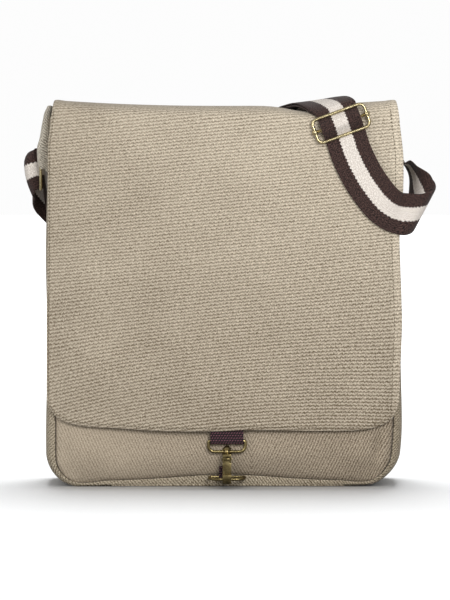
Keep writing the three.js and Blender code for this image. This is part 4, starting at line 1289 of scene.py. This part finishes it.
@dataclass
class Strap:
    """Striped strap from the right ring, through the slider, behind the bag, round the left ring and back."""

    shape: Shape
    slider: Slider
    right_bar: Point
    width: float = 38.0
    thick: float = 1.5
    wire: float = 1.3
    air: float = 0.35
    flap_gap: float = 2.0
    leg_gap: float = 2.2
    steps: int = 6
    bend_edge: Point = (184.7, -26.0, 256.6)
    bend_radius: float = 11.0
    bend_rise: float = 0.589
    # Stations of the way out between which the other leg comes back below it.
    back_from: float = 11.5
    back_to: float = 22.5
    # Curl at the left ring: height of the strap's middle, how far its edges turn in below and above,
    # and where the curl starts and is full, in x and in y.
    curl_height: float = 289.0
    curl_low: float = 3.0
    curl_high: float = 14.0
    curl_x: Pair = (-176.0, -185.0)
    curl_y: Pair = (31.0, 19.0)
    # Twist below the right ring: place and way across.
    twist: tuple[tuple[Point, Point], ...] = (
        ((171.4, 0, 297.4), (0.03, -0.97, 0.22)),
        ((176.4, -1.5, 289.4), (0.14, -0.92, 0.34)),
        ((179.4, -6.0, 278.4), (0.36, -0.63, 0.67)))
    # Front leg on the flap: x, z and way across.
    front: tuple[tuple[float, float, Point], ...] = (
        (162.5, 253.3, (0.16, 0, 0.98)), (155.0, 256.0, (0.38, 0, 0.92)), (148.5, 260.3, (0.54, 0, 0.84)),
        (142.8, 265.8, (0.66, 0, 0.75)), (130.6, 282.0, (0.8, 0, 0.6)), (121.8, 297.6, (0.89, 0, 0.46)),
        (115.8, 311.0, (0.93, 0, 0.37)))
    # Through the slider: way down the strap and way out from the flap.
    through: tuple[Pair, ...] = (
        (14.5, 1.5), (11, 1.2), (9, 1.5), (5.2, 5.4), (3.2, 7.9), (1.4, 9.0), (-0.6, 9.2), (-3.2, 8.5),
        (-7, 5.6), (-9.5, 3.9), (-11.5, 3.3), (-15, 3.2))
    # Behind the bag: place, way across and room to the leg that comes back.
    behind: tuple[tuple[Point, Point, float], ...] = (
        ((96.5, -24, 354.4), (0.93, 0.17, 0.33), 2.3), ((90, -10, 356.4), (0.92, 0.3, 0.22), 2.3),
        ((83, 5, 356.6), (0.93, 0.33, 0.12), 2.3), ((75, 20.4, 352.6), (0.96, 0.26, 0), 2.3),
        ((67, 33, 343.5), (0.94, 0.1, -0.28), 2.3), ((54, 38.6, 330), (0.84, 0, -0.54), 2.3),
        ((25, 41, 294), (0.76, 0, -0.65), 2.3), ((-20, 43, 246), (0.55, 0, -0.83), 2.4),
        ((-65, 44, 216), (0.2, 0, -0.98), 2.4), ((-112, 44, 222), (-0.2, 0, -0.98), 2.4),
        ((-146, 43.5, 244), (0, 0, -1), 3.0), ((-164, 41.2, 261), (0, 0, -1), 5.0),
        ((-175.5, 34.5, 273.5), (0, 0, -1), 10.5), ((-184, 23, 285.5), (0, 0, -1), 16.2))
    # Round the left ring and back.
    left: tuple[Point, ...] = (
        (-187, 13.4, 288.4), (-184.2, 7.8, 290.6), (-178.5, 6.0, 292.6), (-172.4, 7.0, 293.8),
        (-169.5, 10.6, 294), (-169.3, 17, 292), (-168.8, 24, 286.0), (-167.0, 31.5, 276.4),
        (-160.5, 37.6, 264))
    # Back down to the slider's bar, in the columns of the way through it.
    bar_end: tuple[Pair, ...] = ((-15, 1.0), (-11.2, 1.1), (-8.5, 1.95), (-5.7, 3.85), (-2.2, 6.5))
    # Round the bar: way down the strap, and way out from the bar in radii of the fold.
    bar_turn: tuple[Pair, ...] = ((0.4, 1.0), (1.8, 0.68), (2.4, 0.0), (1.7, -0.7), (0, -1.0))
    bar_tail: Pair = (-4.6, 1.9)

    def __post_init__(self) -> None:
        """Sets the radius of the strap's middle round a bar."""
        self.fold = self.wire + self.air + self.thick / 2

    def ring_end(self) -> list[tuple[Array, Array]]:
        """Sewn end round the right ring's bar.

        Returns:
            Places and ways across.
        """
        down = np.array([0.5, 0, -0.866])
        up = np.array([0.866, 0, 0.5])
        turn = np.radians([-90, -135, -180, -225, -270])
        round_bar = [(self.fold * math.cos(a), self.fold * math.sin(a)) for a in turn]
        places = [(6, -self.fold), (2, -self.fold), *round_bar, (3, self.fold)]
        return [(np.array(self.right_bar) + down * a + up * b, -Y_WAY) for a, b in places]

    def bend(self) -> list[tuple[Array, Array]]:
        """Slanting bend at the bag's right side.

        Returns:
            Places and ways across.
        """
        axis = np.array([0.462, 0, 0.887])
        out = np.array([0.887, 0, -0.462])
        made = []
        for turn in np.radians([150, 120, 90, 60, 30, 0]):
            middle = np.array(self.bend_edge) + out * self.bend_radius * (math.sin(turn) - 1)
            middle = middle - Y_WAY * self.bend_radius * math.cos(turn)
            made.append((middle + axis * self.bend_radius * self.bend_rise * (turn - math.pi / 2), axis))
        return made

    def seat(self, x: float, z: float, across: Sequence[float]) -> float:
        """Depth at which the strap clears the flap right across its width.

        Args:
            x: Place across the flap.
            z: Height on the flap.
            across: Way across the strap.

        Returns:
            The y of the strap's middle.
        """
        far = np.linspace(-0.5, 0.5, 5) * self.width
        face = self.shape.flap_front(x + far * across[0], z + far * across[2])
        return float(face.min()) - self.shape.cloth / 2 - self.thick / 2 - self.flap_gap

    def smooth(self, stations: Sequence[tuple[Sequence[float], Sequence[float]]]) -> tuple[Array, Array]:
        """Dense stretch of the strap through a row of stations.

        Args:
            stations: Places and ways across.

        Returns:
            Middle points, and ways across of length one.
        """
        middle = np.array([np.asarray(place, float) for place, _ in stations])
        reach = unit(np.array([np.asarray(way, float) for _, way in stations])) * self.width / 2
        upper = smooth_row(middle + reach, self.steps, even=True)
        lower = smooth_row(middle - reach, self.steps, even=True)
        return smooth_row(middle, self.steps), unit(upper - lower)

    def ribbon(self) -> Ribbon:
        """The whole strap as one band.

        Returns:
            The band.
        """
        slide = self.slider
        front = [(np.array([x, self.seat(x, z, way), z]), way) for x, z, way in self.front]
        first = self.smooth([*self.ring_end(), *self.twist, *self.bend(), *front])
        over = [(slide.at(down, out), slide.across) for down, out in self.through]
        out_leg = self.smooth([*over, *((place, way) for place, way, _ in self.behind)])
        rooms = [self.leg_gap] * len(over) + [room for _, _, room in self.behind]
        room = np.interp(np.arange(len(out_leg[0])) / self.steps, np.arange(len(rooms)), rooms)
        face = unit(np.cross(out_leg[1], np.gradient(out_leg[0], axis=0)))
        under = out_leg[0] - face * room[:, None]
        span = slice(int(self.back_from * self.steps), int(self.back_to * self.steps))
        back = (under[span][::-1], out_leg[1][span][::-1])
        leaves = (out_leg[0][-1], -Z_WAY)
        turn = self.smooth([leaves, *((place, -Z_WAY) for place in self.left), (back[0][0], back[1][0])])
        round_bar = [(down, slide.bar_out + share * self.fold) for down, share in self.bar_turn]
        ends = [*self.bar_end, *round_bar, self.bar_tail]
        last = self.smooth([(slide.at(down, out), slide.across) for down, out in ends])
        parts = [first, out_leg, (turn[0][1:-1], turn[1][1:-1]), back, last]
        middle = np.concatenate([part[0] for part in parts])
        across = np.concatenate([part[1] for part in parts])
        return Ribbon(middle, across, self.width, self.thick)

    def curl(self, grid: Grid) -> None:
        """Curls the strap's edges inwards round the left ring.

        Args:
            grid: The strap's grid, which is changed.
        """
        x = grid.middle[..., 0]
        low = (self.curl_height - grid.middle[..., 2]) / (self.width / 2) + 0.5
        inward = np.where(low > 0, self.curl_low * np.minimum(low, 1.5) ** 2, self.curl_high * low**2)
        grid.middle[..., 0] = x + inward * ease(*self.curl_x, x) * ease(*self.curl_y, grid.middle[..., 1])

    def build(self, webbing: bpy.types.Material) -> None:
        """Builds the strap.

        Args:
            webbing: Its finish.
        """
        band = self.ribbon()
        grid = band.grid()
        self.curl(grid)
        piece = dress(grid.build("strap_webbing", 1), webbing)
        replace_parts(piece, "strap")
        band.flat()


@dataclass
class Tabs:
    """Cloth tabs at both sides and the brass rings that they hold; sizes in millimetres."""

    wire: float = 1.3
    air: float = 0.35
    side_cloth: float = 1.4
    ring_length: float = 43.0
    ring_corner: float = 3.0
    # Left side: the ring's front bar in x and y, its way back, and the tab's fold and heights.
    left_bar: Pair = (-171.2, -3.0)
    left_way: Point = (-0.12, 0.993, 0.0)
    left_depth: float = 15.4
    left_height: float = 296.0
    left_fold: float = 2.5
    tab_low: float = 288.0
    tab_top: float = 352.5
    # The left tab in y: where it starts and how far it comes back past the bar.
    tab_start: float = 13.0
    tab_return: float = 5.5
    # Its rolled top starts at a height, and its inner layer stands off round another.
    roll_from: float = 346.0
    stand_off: float = 2.4
    stand_off_height: float = 303.0
    stand_off_reach: float = 24.0
    # Right side: the ring's inner and outer bar, and the tab's width and ends above the inner bar.
    inner_bar: Point = (156.4, 0.0, 316.0)
    outer_bar: Point = (163.5, 0.0, 300.5)
    right_width: float = 34.0
    right_behind: Pair = (21.0, 10.0)
    right_ahead: Pair = (9.0, 17.0)
    # Height and sideways lean of the left tab.
    lean: Table = Table(((288, 0.4), (311, 0.0), (320, 2.2), (334.5, 4.6), (348.6, 7.9), (353, 9.4)))

    def left_grid(self) -> Grid:
        """Left side tab, folded round the ring's front bar, with a rolled top and a ragged lower edge.

        Returns:
            The tab's grid.
        """
        bar_x, bar_y = self.left_bar
        fold = self.left_fold
        turn = np.radians(spread([0, 180], 12))
        path = [(fold, y) for y in spread([self.tab_start, bar_y], 2)[:-1]]
        path += [(fold * math.cos(a), bar_y - fold * math.sin(a)) for a in turn]
        path += [(-fold, y) for y in spread([bar_y, bar_y + self.tab_return], 1.4)[1:]]
        outline = np.array(path)
        aside = outline[None, :, 0]
        walked = lengths(outline)[None, :]
        share = walked / walked.max()
        low = self.tab_low
        stops = [self.tab_top, self.tab_top - 0.9, self.tab_top - 3.5, low + 1.5, low + 0.4, low]
        height = spread(stops, 1.2)[:, None]
        above = height - low
        ragged = 1.1 * np.sin(walked / 0.9) + 0.8 * np.sin(walked / 0.37 + 1)
        slant = 6 - 4.4 * aside / fold
        z = height + ragged * np.exp(-above / 3) + slant * np.exp(-above / 16)
        z = z - 1.4 * ease(self.roll_from, self.tab_top, height) * (aside / fold) ** 2
        crease = 0.5 * np.sin(height / 6.5 + walked / 6) + 0.5 * np.sin(height / 2.9 - walked / 3)
        off = self.stand_off * bell(height - self.stand_off_height, self.stand_off_reach)
        wide = np.where(aside > 0, 1 + off, 1 + 0 * height)
        x = bar_x + aside * wide + self.lean.at(height)
        x = x + 1.1 * np.sin(height / 2.4) * ease(self.roll_from - 8, self.roll_from, height) * (share - 0.5)
        y = outline[None, :, 1] - 0.7 * crease * ease(low, low + 8, height) * np.sin(share * math.pi)
        half = np.full(z.shape, self.side_cloth / 2) * (1 - 0.5 * np.exp(-above / 1.0))
        cloth = np.stack([walked + 0 * height, height + 0 * walked], axis=-1)
        return Grid(np.stack([x, y, z], axis=-1), cloth, half)

    def right_ribbon(self) -> Ribbon:
        """Right side tab, tucked in behind the flap's edge.

        Returns:
            The tab's band.
        """
        fold = self.wire + self.air + self.side_cloth / 2
        inner = np.array(self.inner_bar)
        turn = np.radians(spread([180, 360], 12))
        path = [inner + np.array([-fold, 0, up]) for up in self.right_behind]
        path += [inner + fold * np.array([math.cos(a), 0, math.sin(a)]) for a in turn]
        path += [inner + np.array([fold, 0, up]) for up in self.right_ahead]
        return Ribbon(np.array(path), np.tile(Y_WAY, (len(path), 1)), self.right_width, self.side_cloth)

    def sides(self, canvas: bpy.types.Material, metal: bpy.types.Material) -> None:
        """Builds both side tabs and their rings.

        Args:
            canvas: Finish of the tabs.
            metal: Finish of the rings.
        """
        grid = self.left_grid()
        piece = dress(grid.build("side_tab_left_cloth", -1), canvas)
        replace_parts(piece, "side_tab_left")
        width, length, area = grid.flat()
        band = self.right_ribbon()
        piece = dress(band.grid().build("side_tab_right_cloth", 1), canvas)
        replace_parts(piece, "side_tab_right")
        band.flat()
        out = unit(np.array(self.left_way))
        middle = np.array([*self.left_bar, self.left_height]) + out * self.left_depth / 2
        corners = (self.ring_corner, self.ring_corner)
        loop = rounded_loop(middle, out, Z_WAY, (self.left_depth, self.ring_length), corners)
        ring = Brass()
        ring.wire(loop, self.wire, np.cross(out, Z_WAY))
        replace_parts(dress(ring.build("strap_ring_left_wire"), metal), "strap_ring_left")
        inner = np.array(self.inner_bar)
        outer = np.array(self.outer_bar)
        way = unit(outer - inner)
        size = (self.ring_length, float(np.linalg.norm(outer - inner)))
        loop = rounded_loop((inner + outer) / 2, Y_WAY, way, size, corners)
        ring = Brass()
        ring.wire(loop, self.wire, np.cross(Y_WAY, way))
        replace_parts(dress(ring.build("strap_ring_right_wire"), metal), "strap_ring_right")


@dataclass
class Hook:
    """Snap hook under the flap's hem, its webbing tab, and the ring at the bottom seam; in millimetres."""

    shape: Shape
    air: float = 0.35
    # Closure tab: under the flap, then straight down to the eye and up behind it.
    tab_width: float = 30.4
    tab_thick: float = 1.5
    tab_air: float = 0.65
    tab_top: float = 1.5
    tab_under: tuple[float, ...] = (78, 74, 70, 66, 62)
    tab_down: tuple[float, ...] = (51.5, 49.0, 46.5)
    tab_up: tuple[float, ...] = (47, 50, 56, 62)
    eye_wire: float = 1.5
    eye_top: float = 44.2
    eye_low: float = 34.2
    eye_width: float = 33.8
    eye_corners: Pair = (1.8, 5.2)
    # Swivel boss of the eye and dome of the post above it: height and radius.
    boss_rows: tuple[Pair, ...] = (
        (-1.55, 1.75), (-1.55, 2.7), (-1.1, 3.15), (1.1, 3.15), (1.55, 2.7), (1.55, 1.75), (-1.55, 1.75))
    dome_rows: tuple[Pair, ...] = (
        (1.75, 0.4), (1.75, 3.9), (2.4, 4.2), (3.4, 3.7), (4.4, 2.7), (5.3, 1.5), (5.8, 0.1))
    # Ring at the seam: its back bar in y and z, and its front bar's place before the eye and height.
    ring_wire: float = 1.4
    ring_width: float = 32.4
    ring_corners: Pair = (8.0, 2.0)
    ring_back: Pair = (-37.6, 9.4)
    ring_front: Pair = (2.1, 8.6)
    # The ring's tab: its way down in y and z, and its end below the back bar.
    ring_tab_x: float = 0.6
    ring_tab_width: float = 11.0
    ring_tab_thick: float = 1.2
    ring_tab_down: tuple[Pair, ...] = ((-39.6, 19.6), (-39.7, 17.5), (-39.8, 15.0))
    ring_tab_end: float = -35.2
    # Rounding of the cast edges, and the angles of a flat, an edge and a crease in radians.
    edge_round: float = 0.28
    flat_angle: float = 0.03
    edge_angle: float = 0.5
    crease_angle: float = 0.7

    def __post_init__(self) -> None:
        """Sets the places that follow from the flap's hem."""
        s = self.shape
        self.x = s.hook_x
        self.tab_lift = s.cloth / 2 + self.tab_air + self.tab_thick / 2
        self.tab_y = float(s.flap_front(self.x, s.hem + self.tab_top)) + self.tab_lift
        self.fold = self.eye_wire + self.air + self.tab_thick / 2
        self.eye_y = self.tab_y + self.fold

    def turn(self, y: float, z: float, radius: float, start: float, end: float) -> list[Pair]:
        """Places y and z round a bar, by degrees from +Y towards +Z."""
        angles = np.radians(spread([start, end], 9))
        return [(y + radius * math.cos(a), z + radius * math.sin(a)) for a in angles]

    def band(self, path: Sequence[Pair], x: float, width: float, thick: float) -> Ribbon:
        """Webbing band along places y and z."""
        middle = np.array([[x, y, z] for y, z in path])
        return Ribbon(middle, np.tile(X_WAY, (len(path), 1)), width, thick)

    def webbing(self, plum: bpy.types.Material) -> None:
        """Builds the closure tab and the ring's tab.

        Args:
            plum: Their finish.
        """
        s = self.shape
        path = [(float(s.flap_front(self.x, z)) + self.tab_lift, z) for z in self.tab_under]
        path += [(self.tab_y, z) for z in (s.hem + self.tab_top, *self.tab_down)]
        path += self.turn(self.eye_y, self.eye_top, self.fold, 180, 360)
        path += [(self.eye_y + self.fold, z) for z in self.tab_up]
        tab = self.band(path, self.x, self.tab_width, self.tab_thick)
        piece = dress(tab.grid().build("closure_tab_webbing", 1), plum)
        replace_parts(piece, "closure_tab")
        tab.flat()
        fold = self.ring_wire + self.air + self.ring_tab_thick / 2
        path = [*self.ring_tab_down, *self.turn(*self.ring_back, fold, 180, 270)]
        path.append((self.ring_tab_end, self.ring_back[1] - fold))
        tab = self.band(path, self.ring_tab_x, self.ring_tab_width, self.ring_tab_thick)
        piece = dress(tab.grid().build("ring_tab_webbing", 1), plum)
        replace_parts(piece, "ring_tab")
        tab.flat()

    def solid(self, node: str, name: str, metal: bpy.types.Material, body: Body, extra: Brass) -> None:
        """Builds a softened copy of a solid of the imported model.

        Args:
            node: Name of the solid.
            name: Name of the new piece.
            metal: Its finish.
            body: Body that it rides on.
            extra: Rounded detail that joins it.
        """
        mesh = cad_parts[node].data.copy()
        mesh.name = name
        work = bmesh.new()
        work.from_mesh(mesh)
        bmesh.ops.remove_doubles(work, verts=work.verts, dist=2e-6)
        bmesh.ops.dissolve_limit(work, angle_limit=self.flat_angle, verts=work.verts, edges=work.edges)
        joined = [edge for edge in work.edges if edge.is_manifold]
        sharp = [edge for edge in joined if edge.calc_face_angle(0) > self.edge_angle]
        bmesh.ops.bevel(work, geom=sharp, offset=self.edge_round * MM, segments=2, profile=0.6,
                        affect="EDGES", clamp_overlap=True)
        for points, faces in zip(extra.points, extra.faces):
            made = [work.verts.new(point * MM) for point in points]
            for corners in faces - faces.min():
                work.faces.new([made[corner] for corner in dict.fromkeys(corners.tolist())])
        for face in work.faces:
            face.smooth = True
        work.to_mesh(mesh)
        work.free()
        mesh.set_sharp_from_angle(angle=self.crease_angle)
        piece = bpy.data.objects.new(name, mesh)
        bpy.context.scene.collection.objects.link(piece)
        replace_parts(dress(piece, metal, body), node)

    def metal(self, metal: bpy.types.Material) -> None:
        """Builds the eye, the hook, its gate and the ring.

        Args:
            metal: Their finish.
        """
        middle = np.array([self.x, self.eye_y, (self.eye_top + self.eye_low) / 2])
        size = (self.eye_width, self.eye_top - self.eye_low)
        boss = np.array([self.x, self.eye_y, self.eye_low])
        eye = Brass()
        eye.wire(rounded_loop(middle, X_WAY, Z_WAY, size, self.eye_corners), self.eye_wire, Y_WAY)
        eye.turned(boss, Z_WAY, self.boss_rows)
        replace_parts(dress(eye.build("hook_eye_wire"), metal), "hook_eye")
        dome = Brass()
        dome.turned(boss, Z_WAY, self.dome_rows)
        self.solid("hook_body", "hook_body_cast", metal, Body.BAG, dome)
        self.solid("hook_gate", "hook_gate_cast", metal, Body.GATE, Brass())
        before, high = self.ring_front
        front = np.array([self.x, self.eye_y - before, high])
        back = np.array([self.x, *self.ring_back])
        way = unit(front - back)
        size = (self.ring_width, float(np.linalg.norm(front - back)))
        loop = rounded_loop((front + back) / 2, X_WAY, way, size, self.ring_corners)
        ring = Brass()
        ring.wire(loop, self.ring_wire, np.cross(X_WAY, way))
        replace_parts(dress(ring.build("hook_ring_wire"), metal), "hook_ring")


class Stitcher:
    """Geometry Nodes group that lays stitches along a path."""

    def __init__(self) -> None:
        """Builds the node group."""
        self.group = bpy.data.node_groups.new("stitches", "GeometryNodeTree")
        face = self.group.interface
        face.new_socket("Path", in_out="INPUT", socket_type="NodeSocketGeometry")
        self.inputs = {}
        sockets = {"Pitch": "Float", "Size": "Vector", "Sway": "Float", "Lean": "Float", "Seed": "Int",
                   "Thread": "Material"}
        for name, kind in sockets.items():
            made = face.new_socket(name, in_out="INPUT", socket_type=f"NodeSocket{kind}")
            self.inputs[name] = made.identifier
        face.new_socket("Stitches", in_out="OUTPUT", socket_type="NodeSocketGeometry")
        enter = self.group.nodes.new("NodeGroupInput")
        leave = self.group.nodes.new("NodeGroupOutput")
        curve = self.add("GeometryNodeMeshToCurve", Mesh=enter.outputs["Path"])
        points = self.add("GeometryNodeCurveToPoints", mode="LENGTH", Curve=curve.outputs[0],
                          Length=enter.outputs["Pitch"])
        bead = self.add("GeometryNodeMeshUVSphere", Segments=8, Rings=6, Radius=1.0)
        stitch = self.add("GeometryNodeTransform", Geometry=bead.outputs[0], Scale=enter.outputs["Size"])
        turn = self.add("FunctionNodeAlignRotationToVector", axis="X", Vector=points.outputs["Tangent"])
        sway = self.add("FunctionNodeRandomValue", data_type="FLOAT", Seed=enter.outputs["Seed"])
        low = self.add("ShaderNodeMath", operation="SUBTRACT")
        high = self.add("ShaderNodeMath", operation="ADD")
        for node in (low, high):
            self.group.links.new(enter.outputs["Lean"], node.inputs[0])
            self.group.links.new(enter.outputs["Sway"], node.inputs[1])
        self.group.links.new(low.outputs[0], sway.inputs[2])
        self.group.links.new(high.outputs[0], sway.inputs[3])
        about = self.add("ShaderNodeCombineXYZ", Y=sway.outputs[1])
        lean = self.add("FunctionNodeRotateRotation", rotation_space="LOCAL", Rotation=turn.outputs[0])
        self.group.links.new(about.outputs[0], lean.inputs[1])
        laid = self.add("GeometryNodeInstanceOnPoints", Points=points.outputs[0], Instance=stitch.outputs[0],
                        Rotation=lean.outputs[0])
        real = self.add("GeometryNodeRealizeInstances", Geometry=laid.outputs[0])
        done = self.add("GeometryNodeSetMaterial", Geometry=real.outputs[0], Material=enter.outputs["Thread"])
        self.group.links.new(done.outputs[0], leave.inputs[0])

    def add(self, kind: str, **settings: object) -> bpy.types.Node:
        """Adds one node with its properties, inputs and links.

        Args:
            kind: Blender's name of the node type.
            settings: Properties in small letters, and inputs by name.

        Returns:
            The node.
        """
        node = self.group.nodes.new(kind)
        for key, value in settings.items():
            if key[0].islower():
                setattr(node, key, value)
        for key, value in settings.items():
            if key[0].islower():
                continue
            if isinstance(value, bpy.types.NodeSocket):
                self.group.links.new(value, node.inputs[key])
            else:
                node.inputs[key].default_value = value
        return node

    def run(self, name: str, path: Array, thread: bpy.types.Material, size: Sequence[float], pitch: float,
            lean: float = 0.0, sway: float = 0.08, seed: int = 1) -> bpy.types.Object:
        """Lays stitches along a path.

        Args:
            name: Name of the piece.
            path: Points of the path in millimetres.
            thread: Finish of the thread.
            size: Half length, half width and half height of a stitch in millimetres.
            pitch: Distance between stitches in millimetres.
            lean: Turn of each stitch in radians.
            sway: Random part of that turn.
            seed: Seed of the random part.

        Returns:
            The stitches as one plain mesh.
        """
        mesh = bpy.data.meshes.new(name + "_path")
        mesh.from_pydata((path * MM).tolist(), [(i, i + 1) for i in range(len(path) - 1)], [])
        guide = bpy.data.objects.new(name + "_path", mesh)
        bpy.context.scene.collection.objects.link(guide)
        modifier = guide.modifiers.new("stitches", "NODES")
        modifier.node_group = self.group
        values = {"Pitch": pitch * MM, "Size": [value * MM for value in size], "Sway": sway, "Lean": lean,
                  "Seed": seed, "Thread": thread}
        for key, value in values.items():
            modifier[self.inputs[key]] = value
        bpy.context.view_layer.update()
        made = bpy.data.meshes.new_from_object(guide.evaluated_get(bpy.context.evaluated_depsgraph_get()))
        made.name = name
        made.polygons.foreach_set("use_smooth", np.ones(len(made.polygons), dtype=bool))
        bpy.data.objects.remove(guide)
        piece = bpy.data.objects.new(name, made)
        bpy.context.scene.collection.objects.link(piece)
        return piece


@dataclass
class Studio:
    """White floor and background, soft lights and the camera.

    Attributes:
        lens: Length of the lens, in millimetres.
        sensor: Longer side of the picture behind the lens, in millimetres.
        tall: Height that the picture takes in, in metres.
        target: Point that the camera looks at.
        elevation: How far the camera looks down, in degrees.
        lit: Point that the lights face.
        ambient: Strength of the background as a source of light.
        bounce: Grey of the floor as a source of light.
        floor_half: Half of the floor's side, in metres.
        floor_drop: How far the floor lies below the bag, in metres.
        floor_glow_reach: Distances from the bag between which the floor glows to white by emission, painted
            light where the floor light falls off, in metres.
    """

    lens: float = 180.0
    sensor: float = 36.0
    tall: float = 0.553
    target: Point = (0.0005, -0.04, 0.1738)
    elevation: float = 4.0
    lit: Point = (0.0, -0.04, 0.17)
    ambient: float = 0.5
    bounce: float = 0.4
    floor_half: float = 6.0
    floor_drop: float = 0.0002
    floor_glow_reach: Pair = (0.45, 1.6)

    def floor(self) -> bpy.types.Object:
        """Builds the floor, white to the eye and greyer as a source of light, with a painted glow that
        brightens it to white away from the bag.

        Returns:
            The floor.
        """
        n = Nodes("white floor")
        n.set(Base_Color=n.blend(n.grain(400.0), (0.87, 0.88, 0.89, 1), (0.91, 0.92, 0.93, 1)))
        n.set(Roughness=0.9, Specular_IOR_Level=0.0, Emission_Strength=1.0)
        where = n.make("ShaderNodeTexCoord", "Object")
        away = n.make("ShaderNodeVectorMath", "Value", operation="LENGTH", in_0=where)
        # Painted light: emission makes the floor glow white away from the bag, where the floor light falls
        # off.
        n.set(Emission_Color=n.blend(away.step(*self.floor_glow_reach), (0, 0, 0, 1), (1, 1, 1, 1)))
        grey = n.make("ShaderNodeBsdfDiffuse", in_Color=(self.bounce, self.bounce, self.bounce, 1))
        seen = n.make("ShaderNodeLightPath", "Is Camera Ray")
        both = n.make("ShaderNodeMixShader", in_0=seen, in_1=grey, in_2=Value(n, n.shader.outputs[0]))
        end = next(node for node in n.tree.nodes if node.type == "OUTPUT_MATERIAL")
        n.feed(end.inputs[0], both)
        signs = np.array([[-1, -1, 0], [1, -1, 0], [1, 1, 0], [-1, 1, 0]])
        corners = signs * self.floor_half - Z_WAY * self.floor_drop
        ground = mesh_object("floor", corners, np.array([[0, 1, 2, 3]]))
        ground.data.materials.append(n.material)
        return ground

    def light(self, name: str, place: Sequence[float], size: float, watts: float) -> bpy.types.Object:
        """Adds a soft square light that faces the bag.

        Args:
            name: Its name.
            place: Where it stands, in metres.
            size: Its side in metres.
            watts: Its power.

        Returns:
            The light.
        """
        lamp = bpy.data.lights.new(name, "AREA")
        lamp.size = size
        lamp.energy = watts
        made = bpy.data.objects.new(name, lamp)
        bpy.context.scene.collection.objects.link(made)
        made.location = place
        way = Vector(self.lit) - made.location
        made.rotation_euler = way.to_track_quat("-Z", "Y").to_euler()
        return made

    def link(self, lamp: bpy.types.Object, ground: bpy.types.Object, target: FallsOn) -> None:
        """Lets a light fall on the floor only, or on everything else.

        Args:
            lamp: The light.
            ground: The floor.
            target: What the light falls on.
        """
        lit = bpy.data.collections.new(f"{lamp.name} falls on")
        lit.objects.link(ground)
        lit.collection_objects[0].light_linking.link_state = target.value
        lamp.light_linking.receiver_collection = lit

    def world(self) -> None:
        """Builds a background that is white to the eye and dimmer as a source of light."""
        made = bpy.data.worlds.new("white")
        made.use_nodes = True
        nodes = made.node_tree.nodes
        links = made.node_tree.links
        dim = next(node for node in nodes if node.type == "BACKGROUND")
        dim.inputs[0].default_value = (1, 1, 1, 1)
        dim.inputs[1].default_value = self.ambient
        white = nodes.new("ShaderNodeBackground")
        white.inputs[0].default_value = (0.98, 0.98, 0.98, 1)
        path = nodes.new("ShaderNodeLightPath")
        mix = nodes.new("ShaderNodeMixShader")
        end = next(node for node in nodes if node.type == "OUTPUT_WORLD")
        links.new(path.outputs["Is Camera Ray"], mix.inputs[0])
        links.new(dim.outputs[0], mix.inputs[1])
        links.new(white.outputs[0], mix.inputs[2])
        links.new(mix.outputs[0], end.inputs[0])
        bpy.context.scene.world = made

    def build(self) -> None:
        """Builds the floor, the lights, the background and the camera."""
        scene = bpy.context.scene
        ground = self.floor()
        self.link(self.light("key", (0.4, -1.45, 0.66), 0.5, 14.0), ground, FallsOn.REST)
        self.link(self.light("fill", (-1.1, -1.3, 0.75), 1.0, 7.6), ground, FallsOn.REST)
        self.link(self.light("floor light", (0.05, 0.45, 1.9), 1.0, 34.5), ground, FallsOn.FLOOR)
        self.world()
        scene.view_settings.view_transform = "Standard"
        lens = bpy.data.cameras.new("camera")
        lens.lens = self.lens
        lens.sensor_width = self.sensor
        camera = bpy.data.objects.new("camera", lens)
        scene.collection.objects.link(camera)
        away = self.tall * self.lens / self.sensor
        rise = math.radians(self.elevation)
        target = Vector(self.target)
        camera.location = target + Vector((0, -away * math.cos(rise), away * math.sin(rise)))
        camera.rotation_euler = (target - camera.location).to_track_quat("-Z", "Y").to_euler()
        scene.camera = camera


def main() -> None:
    """Builds the bag's looks piece by piece."""
    logging.basicConfig(level=logging.INFO, format="%(message)s")
    Studio().build()
    shape = Shape()
    ClothBody(shape).build(Stitcher())
    dark = BrassFinish("antique brass").make()
    bright = BrassFinish("polished brass", (216, 202, 160), (104, 88, 54), 0.8).make()
    canvas = CanvasFinish("tab canvas", 1.6, 50.0, contrast=0.7, dark=(88, 80, 66), light=(240, 232, 216))
    tabs = Tabs()
    tabs.sides(canvas.make(), bright)
    hook = Hook(shape)
    hook.webbing(TabFinish().make())
    hook.metal(dark)
    slider = Slider(shape)
    slider.build(bright)
    Strap(shape, slider, tabs.outer_bar).build(WebbingFinish().make())


if __name__ == "__main__":
    main()
